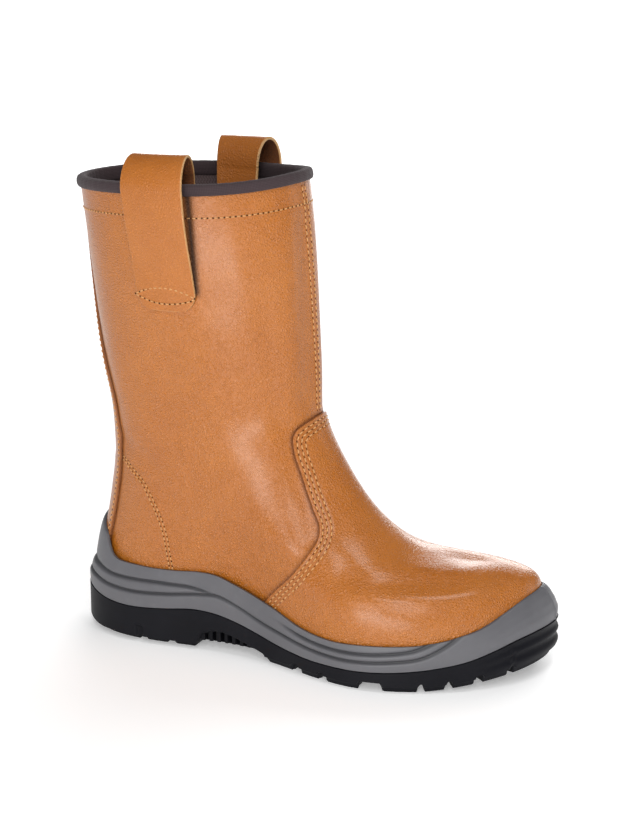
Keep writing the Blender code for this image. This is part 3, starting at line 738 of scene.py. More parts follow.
@dataclass(frozen=True)
class Leather:
    """Smooth tanned leather with a fine pebbled grain.

    Masks of the mesh: dark (painted shade under edges, along the lap and in stitch dents), gap (painted
    shadow behind a strap), raw (pale cut edge), flesh (rough back of the hide).
    """

    name: str
    deep: Colour = (0.420, 0.122, 0.006)
    light: Colour = (0.490, 0.156, 0.014)
    valley: Colour = (0.29, 0.075, 0.004)
    # Colours of the painted shade under edges and in stitch dents, and of the deeper painted shadow behind a
    # strap.
    seam: Colour = (0.13, 0.036, 0.007)
    gap: Colour = (0.012, 0.006, 0.004)
    raw: Colour = (0.62, 0.38, 0.16)
    flesh: Colour = (0.095, 0.052, 0.030)
    cells: float = 600.0
    grain_depth: float = 0.46
    roughness: float = 0.29
    gloss: float = 0.5
    coat: float = 0.4
    coat_roughness: float = 0.22
    # Cells to the metre of each noise, and how far the first one shifts the grain, in metres.
    drift_cells: float = 420.0
    drift: float = 0.0011
    pore_cells: float = 5200.0
    cloud_cells: float = 15.0
    patch_cells: float = 75.0
    nap_cells: float = 900.0

    def build(self) -> bpy.types.Material:
        """Make the material."""
        shade = Shade(self.name)
        place = shade.place()
        drift = (shade.noise(place, self.drift_cells, 2.0, "Color") - 0.5) * self.drift
        pebble = shade.cells(place + drift, self.cells).ramp(0.0, 0.40)
        broad = shade.cells(place + drift, self.cells * 0.42).ramp(0.0, 0.22)
        pores = shade.noise(place, self.pore_cells, 1.0)
        cloud = shade.noise(place, self.cloud_cells, 3.0).ramp(0.30, 0.70)
        patch = shade.noise(place, self.patch_cells, 3.0).ramp(0.25, 0.75)
        dark, gap, raw, flesh = (shade.mask(name) for name in ("dark", "gap", "raw", "flesh"))
        colour = shade.mix(cloud * 0.6 + patch * 0.4, self.deep, self.light)
        colour = shade.mix((1.0 - pebble) * 0.22, colour, self.valley)
        # Painted shade from the dark mask and painted shadow from the gap mask; both also lose the coat and
        # grow rougher.
        colour = shade.mix(dark, colour, self.seam)
        colour = shade.mix(gap, colour, self.gap)
        colour = shade.mix(raw * 0.8, colour, self.raw)
        nap = shade.noise(place, self.nap_cells, 4.0)
        colour = shade.mix(flesh, colour, shade.mix(nap, self.flesh, self.valley))
        rough = self.roughness + (1.0 - pebble) * 0.10 + (patch - 0.5) * 0.08
        rough = (rough + (dark + gap + flesh) * 0.45 + raw * 0.3).least(0.95)
        height = pebble * 0.8 + broad * 0.06 + pores * 0.14
        normal = shade.bump(height, self.grain_depth)
        return shade.finish({
            "Base Color": colour, "Roughness": rough, "Normal": normal,
            "Coat Weight": (1.0 - flesh.most(dark).most(gap)) * self.coat,
            "Coat Roughness": self.coat_roughness,
            "Specular IOR Level": self.gloss,
        })


@dataclass(frozen=True)
class Rubber:
    """Moulded sole rubber with a fine matt skin, with painted shade in its grooves and hollows (mask dark).
    """

    name: str
    colour: Colour
    pale: Colour
    # Colour of the painted shade in grooves and hollows.
    groove: Colour
    roughness: float = 0.5
    gloss: float = 0.5
    skin_depth: float = 0.035
    skin_cells: float = 2600.0
    cloud_cells: float = 22.0
    dust_cells: float = 130.0

    def build(self) -> bpy.types.Material:
        """Make the material."""
        shade = Shade(self.name)
        place = shade.place()
        skin = shade.noise(place, self.skin_cells, 3.0)
        cloud = shade.noise(place, self.cloud_cells, 4.0).ramp(0.3, 0.7)
        dust = shade.noise(place, self.dust_cells, 5.0).ramp(0.52, 0.80)
        dark = shade.mask("dark")
        colour = shade.mix(cloud * 0.6 + dust * 0.4, self.colour, self.pale)
        colour = shade.mix(dark, colour, self.groove)
        rough = self.roughness + (skin - 0.5) * 0.15 + dust * 0.06
        return shade.finish({
            "Base Color": colour, "Roughness": rough, "Normal": shade.bump(skin, self.skin_depth),
            "Specular IOR Level": self.gloss,
        })


@dataclass(frozen=True)
class Cloth:
    """Woven or knitted cloth that follows the mesh's own run (vector mask run, in millimetres)."""

    name: str
    colour: Colour
    pale: Colour
    weave: Weave = Weave.PLAIN
    pitch: float = 0.9
    depth: float = 0.14
    roughness: float = 0.8
    sheen: float = 0.1
    fuzz_cells: float = 3800.0
    cloud_cells: float = 60.0

    def build(self) -> bpy.types.Material:
        """Make the material."""
        shade = Shade(self.name)
        run = shade.run("run")
        along = run.part("X") * (np.pi / self.pitch)
        across = run.part("Y") * (np.pi / self.pitch)
        if self.weave is Weave.PLAIN:
            threads = abs(along.sine() * across.sine())
        else:
            threads = abs((along + across.sine() * 0.9).sine()) * (0.6 + 0.4 * abs(across.sine()))
        fuzz = shade.noise(shade.place(), self.fuzz_cells, 3.0)
        cloud = shade.noise(shade.place(), self.cloud_cells, 3.0)
        colour = shade.mix(threads * 0.7 + cloud * 0.3, self.colour, self.pale)
        rough = self.roughness + (fuzz - 0.5) * 0.1
        normal = shade.bump(threads * 0.8 + fuzz * 0.2, self.depth)
        return shade.finish({
            "Base Color": colour, "Roughness": rough, "Normal": normal, "Sheen Weight": self.sheen,
            "Specular IOR Level": 0.25,
        })


@dataclass(frozen=True)
class Thread:
    """Twisted sewing thread (mask twist counts its turns)."""

    name: str
    colour: Colour
    dark: Colour
    depth: float = 0.12
    fuzz_cells: float = 4000.0

    def build(self) -> bpy.types.Material:
        """Make the material."""
        shade = Shade(self.name)
        strand = abs((shade.mask("twist") * TURN).sine())
        fuzz = shade.noise(shade.place(), self.fuzz_cells, 2.0)
        colour = shade.mix(strand * 0.7 + fuzz * 0.3, self.dark, self.colour)
        return shade.finish({
            "Base Color": colour, "Roughness": 0.65 + fuzz * 0.2, "Normal": shade.bump(strand, self.depth),
        })


@dataclass(frozen=True)
class Shadow:
    """Painted shade of a needle hole, dark and matt."""

    name: str
    colour: Colour
    grit_cells: float = 3000.0

    def build(self) -> bpy.types.Material:
        """Make the material."""
        shade = Shade(self.name)
        grit = shade.noise(shade.place(), self.grit_cells)
        colour = shade.mix(grit, self.colour, tuple(2.0 * part for part in self.colour))
        return shade.finish({"Base Color": colour, "Roughness": 0.9, "Specular IOR Level": 0.1})


@dataclass(frozen=True)
class Paper:
    """Pale studio paper, lit from behind."""

    name: str
    colour: Colour
    glow: float = 0.3
    fibre_cells: float = 900.0

    def build(self) -> bpy.types.Material:
        """Make the material."""
        shade = Shade(self.name)
        fibre = shade.noise(shade.place(), self.fibre_cells, 3.0)
        return shade.finish({
            "Base Color": self.colour, "Roughness": 0.75 + fibre * 0.1, "Specular IOR Level": 0.1,
            "Emission Color": (1.0, 1.0, 1.0), "Emission Strength": self.glow,
        })


@dataclass
class Bench:
    """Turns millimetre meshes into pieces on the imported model."""

    sharp_angle: float = 50.0
    made: dict[str, bpy.types.Material] = field(default_factory=dict)

    def material(self, finish: Finish) -> bpy.types.Material:
        """Material of a finish, built once."""
        if finish.name not in self.made:
            self.made[finish.name] = finish.build()
        return self.made[finish.name]

    def mesh(self, name: str, shell: Shell, finish: Finish) -> bpy.types.Object:
        """Object from a shell, turned outward and shaded smooth.

        Args:
            name: Name of the object.
            shell: Its points, quads and masks.
            finish: Its finish.

        Returns:
            The object, linked to the scene.
        """
        data = bpy.data.meshes.new(name)
        placed = (shell.points - np.array(ORIGIN)) * MM
        doubled = shell.faces[:, 0] == shell.faces[:, 3]
        ended = shell.faces[:, 1] == shell.faces[:, 2]
        quads = shell.faces[~doubled & ~ended].tolist()
        quads += shell.faces[doubled][:, :3].tolist() + shell.faces[ended][:, [0, 1, 3]].tolist()
        data.from_pydata(placed.tolist(), [], quads)
        work = bmesh.new()
        work.from_mesh(data)
        bmesh.ops.recalc_face_normals(work, faces=work.faces)
        work.to_mesh(data)
        work.free()
        for key, mask in shell.masks.items():
            flat = np.ascontiguousarray(mask, dtype=np.float32)
            kind, slot = ("FLOAT", "value") if flat.ndim == 1 else ("FLOAT_VECTOR", "vector")
            data.attributes.new(key, kind, "POINT").data.foreach_set(slot, flat.ravel())
        data.shade_smooth()
        data.set_sharp_from_angle(angle=math.radians(self.sharp_angle))
        data.materials.append(self.material(finish))
        made = bpy.data.objects.new(name, data)
        bpy.context.scene.collection.objects.link(made)
        return made

    def piece(
        self, name: str, shell: Shell, finish: Finish, slot: str, stands_for: str = ""
    ) -> bpy.types.Object:
        """Piece of the boot that rides on its one body.

        Args:
            name: Name of the piece.
            shell: Its points, quads and masks.
            finish: Its finish.
            slot: Material slot of the record; not used.
            stands_for: Node that it replaces, if any.

        Returns:
            The piece.
        """
        made = self.mesh(name, shell, finish)
        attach(made, "root")
        if stands_for:
            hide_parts(stands_for)
        LOG.info("%s: %d faces", name, len(made.data.polygons))
        return made


TAN = Leather("tan_leather")
STRAP_TAN = Leather("strap_leather", cells=560.0, grain_depth=0.34, roughness=0.46)
BINDING_CLOTH = Cloth("binding_cloth", (0.028, 0.018, 0.020), (0.070, 0.047, 0.051))
LINING_CLOTH = Cloth("lining_cloth", (0.060, 0.042, 0.042), (0.150, 0.108, 0.108), Weave.KNIT, 1.6, 0.2)
INSOLE_CLOTH = Cloth("insole_cloth", (0.035, 0.034, 0.036), (0.085, 0.083, 0.088), Weave.PLAIN, 1.3)
GREY_RUBBER = Rubber(
    "grey_rubber", (0.104, 0.103, 0.112), (0.134, 0.133, 0.143), (0.025, 0.025, 0.028), 0.44, 0.4
)
BLACK_RUBBER = Rubber(
    "black_rubber", (0.005, 0.005, 0.007), (0.009, 0.009, 0.012), (0.002, 0.002, 0.003), 0.5, 0.12
)
TAN_THREAD = Thread("tan_thread", (0.77, 0.44, 0.185), (0.48, 0.205, 0.064))
# Painted shade at the needle holes.
HOLE_SHADE = Shadow("needle_hole_shade", (0.046, 0.016, 0.005))


@dataclass
class Overlay:
    """Leather sheet on the upper, with a rounded edge that lies in shade."""

    last: Last
    edge_radius: float = 0.7
    edge_shade: float = 0.75
    edge_shade_width: float = 0.45
    press: float = 0.22
    press_width: float = 0.9
    press_shade: float = 0.18
    face: float = SEAT + OVERLAY

    def lay(self, bench: Bench, node: str, places: tuple[Array, Array], away: Array, pressed: Array) -> None:
        """Build and dress the sheet.

        Args:
            bench: Maker of pieces.
            node: Node that it stands for, which also names its piece.
            places: Grids of angles and levels.
            away: Distance of each place from the sheet's edge.
            pressed: How far each place is pressed in by stitches, from 0 to 1.
        """
        relief = self.last.relief(*places)
        out = SEAT + OVERLAY * edge_round(away, self.edge_radius) - self.press * pressed
        top = self.last.offset(*places, out + relief)
        bottom = self.last.offset(*places, SEAT * 0.5 + relief)
        points, faces = slab(top, bottom)
        # Painted shade along the rounded edge and in the stitch dents, and over the whole underside.
        dark = self.edge_shade * bell(away, self.edge_shade_width) + self.press_shade * pressed
        masks = {"dark": np.concatenate((dark.ravel(), np.ones(dark.size)))}
        bench.piece(f"{node}_leather", Shell(points, faces, masks), TAN, node, node)


@dataclass
class Vamp(Overlay):
    """Overlay over the instep and toe, with a stepped seam down both sides."""

    # Side view of its back edge, as z and x from the floor up to the front of the ankle.
    seam: Table = (
        (10.0, 122.0), (41.8, 139.7), (63.3, 160.3), (76.0, 168.6), (82.0, 171.1), (88.0, 170.6),
        (98.4, 165.1), (118.2, 156.2), (134.0, 150.2), (140.5, 149.6), (144.8, 151.6), (148.2, 155.6),
        (151.0, 159.5), (154.0, 170.0),
    )
    lowest: float = 0.2
    highest: float = 7.11
    # An angle behind the whole seam, where a search for it starts.
    behind_seam: float = 30.0
    rows: int = 190
    columns: int = 150
    row_power: float = 1.7
    least_half: float = 0.004
    seam_steps: int = 260
    stitch_inset: tuple[float, ...] = (2.6, 5.2, 7.8)
    stitch_from: float = 1.0
    stitch_smooth: int = 9

    def seam_angle(self, level: Array) -> Array:
        """Angle at which each level meets the seam on the outer side."""

        def behind(angle: Array) -> Array:
            """Whether places lie behind the seam."""
            point = self.last.point(angle, level)
            return point[..., 0] < column(self.seam, point[..., 2])

        start = np.full_like(level, np.radians(self.behind_seam))
        return bisect(start, np.full_like(level, np.pi), behind)[1]

    def seam_path(self, lowest: float) -> tuple[Array, Array]:
        """Places along the seam, up the outer side and down the inner one."""
        share = np.linspace(0.0, 1.0, self.seam_steps)
        level = lowest + (self.highest - lowest) * (1.0 - (1.0 - share) ** 2)
        angle = self.seam_angle(level)
        angle = np.concatenate((angle, TURN - angle[-2::-1]))
        return angle, np.concatenate((level, level[-2::-1]))

    def stitch_path(self, inset: float) -> tuple[Array, Array]:
        """Places of a row of stitches beside the seam, smoothed round its corners."""
        angle, level = self.last.spaced(*self.seam_path(self.stitch_from), 1.0)
        angle, level = self.last.parallel(angle, level, inset)
        kernel = np.ones(self.stitch_smooth) / self.stitch_smooth
        ends = self.stitch_smooth // 2
        angle, level = (np.convolve(np.pad(row, ends, "edge"), kernel, "valid") for row in (angle, level))
        return angle, level

    def build(self, bench: Bench) -> None:
        """Build and dress the overlay."""
        share = np.linspace(0.0, 1.0, self.rows)
        level = self.lowest + (self.highest - self.lowest) * (1.0 - (1.0 - share) ** self.row_power)
        half = np.maximum(np.pi - self.seam_angle(level), self.least_half)
        angle = np.pi + crowded(self.columns)[None, :] * half[:, None]
        level = np.broadcast_to(level[:, None], angle.shape)
        plain = self.last.point(angle, level)
        away = gap_to(plain, self.last.point(*self.seam_path(self.lowest))[::2])
        pressed = np.zeros(angle.shape)
        for inset in self.stitch_inset:
            pressed += bell(away - inset, self.press_width)
        self.lay(bench, "vamp", (angle, level), away, pressed)


@dataclass
class Backstay(Overlay):
    """Strip over the back seam, wide at the heel and narrow up the shaft."""

    # Half-width of the strip along z.
    edge: Table = (
        (44.5, 24.4), (66.0, 25.4), (110.0, 25.6), (140.0, 26.0), (153.0, 25.6), (166.0, 24.0),
        (180.0, 20.6), (194.0, 16.6), (215.0, 12.6), (245.0, 10.0), (274.0, 9.0),
    )
    lowest: float = 1.03
    highest: float = 10.6
    # An angle beyond the whole edge, where a search for it ends.
    beyond_edge: float = 60.0
    rows: int = 240
    columns: int = 60
    edge_steps: int = 220
    stitch_inset: float = 2.4

    def edge_angle(self, level: Array) -> Array:
        """Angle at which each level meets the strip's outer edge."""

        def inside(angle: Array) -> Array:
            """Whether places lie on the strip."""
            point = self.last.point(angle, level)
            height = np.clip(point[..., 2], self.edge[0][0], self.edge[-1][0])
            return -point[..., 1] < column(self.edge, height)

        end = np.full_like(level, np.radians(self.beyond_edge))
        return bisect(np.zeros_like(level), end, inside)[0]

    def edge_path(self, side: Side) -> tuple[Array, Array]:
        """Places up the edge of one side."""
        level = np.linspace(self.lowest, self.highest, self.edge_steps)
        return -side.value * self.edge_angle(level), level

    def stitch_path(self, side: Side) -> tuple[Array, Array]:
        """Places of the row of stitches beside the edge."""
        angle, level = self.last.spaced(*self.edge_path(side), 1.0)
        return self.last.parallel(angle, level, side.value * self.stitch_inset)

    def build(self, bench: Bench) -> None:
        """Build and dress the strip."""
        level = np.linspace(self.lowest, self.highest, self.rows)
        angle = crowded(self.columns)[None, :] * self.edge_angle(level)[:, None]
        level = np.broadcast_to(level[:, None], angle.shape)
        plain = self.last.point(angle, level)
        away = np.full(angle.shape, np.inf)
        for side in Side:
            away = np.minimum(away, gap_to(plain, self.last.point(*self.edge_path(side))[::2]))
        away = np.minimum(away, gap_to(plain, plain[-1, ::4]))
        self.lay(bench, "backstay", (angle, level), away, np.zeros(angle.shape))


@dataclass
class Upper:
    """Leather shaft and foot, its lining, binding and insole."""

    last: Last
    vamp: Vamp
    backstay: Backstay
    straps: list["PullStrap"]
    columns: int = 310
    outer_rows: int = 210
    inner_rows: int = 50
    lap_columns: tuple[float, ...] = (-0.8, -0.5, -0.2, 0.2, 0.5, 0.8)
    # Shade under the overlays' edges, beside the twisted strap and along the lap, and its width.
    shadow: float = 0.85
    shadow_width: float = 1.3
    strap_shade: float = 0.95
    strap_shadow: float = 2.6
    lap_shade: float = 0.7
    lap_shade_width: float = 0.7
    darkest: float = 0.9
    lining_columns: int = 170
    lining_rows: int = 64
    lining_gap: float = 0.10
    lining_cloth: float = 0.22
    lining_depth: float = 4.6
    lining_foot: float = 0.12
    lining_radius: float = 60.0
    # Outer line of the binding round the rim: outward from the leather's face, height.
    roll: Table = (
        (SEAT, -4.3), (1.0, -4.6), (1.7, -4.1), (2.2, -2.6), (2.15, -0.5), (1.5, 1.35), (0.2, 2.05),
        (-1.2, 2.2), (-2.6, 2.0), (-3.9, 1.1), (-4.4, -0.9), (-4.3, -3.9), (-3.8, -6.2), (-3.2, -6.9),
        (-LEATHER - SEAT, -6.8),
    )
    channel: Table = ((-LEATHER - SEAT, SEAT), (SEAT, SEAT))
    roll_steps: int = 46
    roll_columns: int = 420
    roll_radius: float = 65.0
    pucker: float = 0.05
    pucker_fade: float = 4.0
    insole_thickness: float = 4.5
    insole_clearance: float = 0.6
    insole_bevel: float = 1.0
    insole_columns: int = 200
    insole_bends: int = 5
    insole_level: float = 0.05

    def build(self, bench: Bench) -> None:
        """Build and dress the pieces."""
        self.build_leather(bench)
        self.build_lining(bench)
        self.build_binding(bench)
        self.build_insole(bench)

    def build_leather(self, bench: Bench) -> None:
        """One hollow wall of leather, open at both ends."""
        even = np.arange(self.columns) * TURN / self.columns
        lap = np.radians(self.last.lap_edge + np.array(self.lap_columns))
        turn = np.unique(np.concatenate((even, lap)))
        outer, level = np.meshgrid(turn, np.linspace(0.0, self.last.rim, self.outer_rows))
        outside = self.last.skin(outer, level)
        inner, depth = np.meshgrid(turn, np.linspace(self.last.rim, 0.0, self.inner_rows))
        inside = self.last.offset(inner, depth, -LEATHER)
        points = np.concatenate((outside, inside))
        plain = self.last.point(outer, level)
        # Painted shade under the overlays' edges and along the lap, and painted shadow behind the twisted
        # strap.
        dark = np.zeros(points.shape[:2])
        for path in self.covered_edges():
            dark[:self.outer_rows] += self.shadow * bell(gap_to(plain, path), self.shadow_width)
        gap = np.zeros(points.shape[:2])
        for strap in self.straps:
            away = gap_to(plain, self.last.point(*strap.free_edge()))
            gap[:self.outer_rows] += self.strap_shade * strap.twist * bell(away, self.strap_shadow)
        lapped = bell(np.degrees(outer) - self.last.lap_edge, self.lap_shade_width)
        dark[:self.outer_rows] += self.lap_shade * lapped * ease(*self.last.lap_levels, level)
        dark = np.clip(dark, 0.0, self.darkest)
        shell = tube(points, {"dark": dark.ravel(), "gap": gap.ravel()})
        bench.piece("upper_leather", shell, TAN, "upper", "upper")

    def covered_edges(self) -> list[Array]:
        """Lines on the leather under the edges of its overlays."""
        paths = [self.vamp.seam_path(self.vamp.lowest)]
        paths += [self.backstay.edge_path(side) for side in Side]
        return [self.last.point(*path)[::3] for path in paths]

    def build_lining(self, bench: Bench) -> None:
        """Thin cloth inside the leather, from the insole up into the binding."""
        turn = np.arange(self.lining_columns) * TURN / self.lining_columns
        share = np.linspace(0.0, 1.0, self.lining_rows)[:, None]
        top = self.last.rim_level(turn, self.lining_depth)
        level = self.lining_foot + (top - self.lining_foot)[None, :] * share
        angle = np.broadcast_to(turn, level.shape)
        near = self.last.offset(angle, level, -LEATHER - self.lining_gap)
        far = self.last.offset(angle, level, -LEATHER - self.lining_gap - self.lining_cloth)
        points = np.concatenate((near, far[::-1]))
        run = np.stack((angle * self.lining_radius, near[..., 2], np.zeros(angle.shape)), axis=-1)
        shell = tube(points, {"run": np.concatenate((run, run[::-1])).reshape(-1, 3)})
        bench.piece("lining", shell, LINING_CLOTH, "collar_binding")

    def build_binding(self, bench: Bench) -> None:
        """Padded cloth rolled over the rim, slightly puckered along it."""
        turn = np.arange(self.roll_columns) * TURN / self.roll_columns
        section = np.array(self.roll)
        run = np.concatenate(([0.0], np.cumsum(np.linalg.norm(np.diff(section, axis=0), axis=-1))))
        at = np.linspace(0.0, run[-1], self.roll_steps)
        smooth = through(run, section, at)
        away = unit(np.gradient(smooth, axis=0))[:, ::-1] * (1.0, -1.0)
        outer = np.concatenate((at, run[-1] + 1.0 + np.arange(len(self.channel))))
        line = np.concatenate((smooth, np.array(self.channel)))
        lift = np.concatenate((away, np.zeros((len(self.channel), 2))))
        ends = np.minimum(outer, np.maximum(run[-1] - outer, 0.0))
        # Two waves round the rim, the longer one drifting, so that no pucker is like the next.
        wave = np.sin(turn * 61.0 + 2.0 * np.sin(turn * 7.0)) + 0.6 * np.sin(turn * 143.0 + 1.0)
        rings = []
        for (out, height), side, calm in zip(line, lift, ease(0.0, self.pucker_fade, ends)):
            move = self.pucker * calm * wave
            high = height + side[1] * move
            level = self.last.rim_level(turn, np.maximum(-high, 0.0))
            ring = self.last.offset(turn, level, out + side[0] * move)
            ring[:, 2] += np.maximum(high, 0.0)
            rings.append(ring)
        weave = np.stack(np.broadcast_arrays(turn[None, :] * self.roll_radius, outer[:, None], 0.0), axis=-1)
        shell = tube(np.stack(rings), {"run": weave.reshape(-1, 3)})
        made = bench.piece("collar_roll", shell, BINDING_CLOTH, "collar_binding", "collar_binding")

    def build_insole(self, bench: Bench) -> None:
        """Cloth-covered footbed with a rounded top edge."""
        turn = np.arange(self.insole_columns) * TURN / self.insole_columns
        base = self.last.point(turn, 0.0)[:, 2]
        rise = self.insole_thickness
        bevel = self.insole_bevel
        steps = [(0.0, 0.0), (rise - bevel, 0.0)]
        bends = np.linspace(0.0, np.pi / 2.0, self.insole_bends + 1)[1:]
        steps += [(rise - bevel + bevel * np.sin(bend), bevel * (1.0 - np.cos(bend))) for bend in bends]
        rings = []
        for lift, inset in steps:
            ring = self.last.offset(turn, self.insole_level, -LEATHER - self.insole_clearance - inset)
            ring[:, 2] = base + lift
            rings.append(ring)
        points = np.stack(rings)
        flat = points.reshape(-1, 3)
        shell = Shell(flat, capped(points), {"run": flat})
        bench.piece("insole_cloth", shell, INSOLE_CLOTH, "insole", "insole")


@dataclass
class PullStrap:
    """Leather pull loop: sewn outer leg, arch over the rim and inner leg."""

    last: Last
    side: Side
    foot_angle: float
    rim_angle: float
    inner_angle: float
    # How far the edge towards the toe twists off the shaft, as a share of the twist below.
    twist: float
    half_width: float = 19.6
    thickness: float = 2.0
    foot_level: float = 9.0
    # Outer leg as level, stand-off from the leather's face and more stand-off of the twisted edge.
    outer_leg: Table = (
        (9.0, 0.5, 0.0), (9.32, 0.55, 0.2), (9.6, 1.0, 1.4), (9.9, 2.0, 3.0), (10.2, 3.4, 4.0),
        (10.5, 4.6, 4.4), (10.8, 5.2, 4.2), (11.0, 5.4, 3.8),
    )
    corner: float = 0.3
    foot_share: float = 0.45
    loop_height: float = 17.0
    # Inner leg as depth below the rim and distance from the leather's inner face.
    inner_leg: Table = (
        (0.0, 14.5), (12.0, 16.8), (24.0, 16.0), (36.0, 11.0), (48.0, 4.5), (59.0, 0.9), (70.0, 0.6),
    )
    columns: int = 44
    # Rows of the outer leg, the arch and the inner leg, and places along the leaf.
    outer_rows: int = 80
    arch_rows: int = 42
    inner_rows: int = 50
    leaf_steps: int = 200
    free_from: float = 9.3
    free_steps: int = 30
    twist_power: float = 1.5
    edge_radius: float = 0.55
    raw_width: float = 0.3
    # Leaf of stitches on the foot: degrees from the middle, and level, round from one tip.
    leaf: Table = (
        (-15.8, 9.235), (-10.0, 9.315), (-4.0, 9.36), (3.0, 9.365), (9.5, 9.31), (15.2, 9.215),
        (9.0, 9.145), (2.0, 9.115), (-5.0, 9.125), (-11.0, 9.175), (-15.8, 9.235),
    )

    @property
    def name(self) -> str:
        """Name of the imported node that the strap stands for."""
        return f"pull_strap_{self.side.name.lower()}"

    def middle(self, level: Array) -> Array:
        """Angle of the middle of the strap at a level."""
        up = (np.asarray(level) - self.foot_level) / (self.last.rim - self.foot_level)
        return np.radians(self.foot_angle + (self.rim_angle - self.foot_angle) * up)

    def across(self, level: Array, width: Array) -> Array:
        """Angles across the strap, one row for each level."""
        middle = self.middle(level)
        pace = np.linalg.norm(self.last.tangents(middle, level)[0], axis=-1)
        return middle[:, None] + crowded(self.columns)[None, :] * (width * self.half_width / pace)[:, None]

    def free_edge(self) -> tuple[Array, Array]:
        """Places on the upper behind the twisted edge, where it stands off."""
        level = np.linspace(self.free_from, self.last.rim, self.free_steps)
        return self.across(level, np.ones(len(level)))[:, -1], level

    def path(self) -> Array:
        """Grid of points on the back of the strap, from the outer foot to the inner end."""
        up = 1.0 - np.cos(np.linspace(0.0, np.pi / 2.0, self.outer_rows))
        level = self.foot_level + (self.last.rim - self.foot_level) * up
        bend = np.clip((level - self.foot_level) / self.corner, 0.0, 1.0)
        width = self.foot_share + (1.0 - self.foot_share) * np.sqrt(1.0 - (1.0 - bend) ** 2)
        turn = self.across(level, width)
        level = np.broadcast_to(level[:, None], turn.shape)
        twisted = self.twist * ((1.0 + crowded(self.columns)) / 2.0) ** self.twist_power
        stand = column(self.outer_leg, level) + column(self.outer_leg, level, 2) * twisted
        outer = self.last.offset(turn, level, stand)
        rim = self.across(np.array([self.last.rim]), np.ones(1))[0]
        rim = rim + np.radians(self.inner_angle - self.rim_angle)
        outward = unit(self.last.normal(rim, self.last.rim) * (1.0, 1.0, 0.0))
        end = self.last.point(rim, self.last.rim) - outward * (LEATHER + self.inner_leg[0][1])
        centre = (outer[-1] + end) / 2.0
        reach = (outer[-1] - end) / 2.0
        arc = np.linspace(0.0, np.pi, self.arch_rows)[1:-1, None, None]
        lift = np.array((0.0, 0.0, self.loop_height))
        arch = centre + reach * np.cos(arc) + lift * np.sin(arc)
        depth = np.linspace(0.0, self.inner_leg[-1][0], self.inner_rows)[:, None]
        gap = np.broadcast_to(column(self.inner_leg, depth), (len(depth), self.columns))
        angle = np.broadcast_to(rim, gap.shape)
        inner = self.last.offset(angle, self.last.rim_level(rim, depth), -LEATHER - gap)
        return np.concatenate((outer, arch, inner))

    def face(self, level: Array) -> Array:
        """Height of the strap's grain side over the upper's face at a level."""
        return column(self.outer_leg, level) + self.thickness

    def leaf_path(self) -> tuple[Array, Array]:
        """Places of the leaf of stitches on the foot."""
        rows = np.array(self.leaf)
        knots = np.arange(len(rows), dtype=float)
        fine = through(knots, rows, np.linspace(0.0, knots[-1], self.leaf_steps))
        return self.middle(fine[:, 1]) + np.radians(fine[:, 0]), fine[:, 1]

    def build(self, bench: Bench) -> None:
        """Build and dress the strap."""
        back = self.path()
        outward = unit(np.cross(np.gradient(back, axis=1), np.gradient(back, axis=0)))
        edges = (back[:, :1], back[:, -1:])
        away = np.minimum(*(np.linalg.norm(back - edge, axis=-1) for edge in edges))
        for end in (0, -1):
            away = np.minimum(away, gap_to(back, back[end, ::3]))
        sunk = self.edge_radius * (1.0 - edge_round(away, self.edge_radius))
        top = back + outward * (self.thickness - sunk)[..., None]
        bottom = back + outward * sunk[..., None]
        points, faces = slab(top, bottom)
        raw = bell(away, self.raw_width).ravel()
        flesh = np.concatenate((np.zeros(raw.size), 1.0 - raw))
        masks = {"raw": np.tile(raw, 2), "flesh": flesh}
        bench.piece(self.name + "_leather", Shell(points, faces, masks), STRAP_TAN, self.name, self.name)


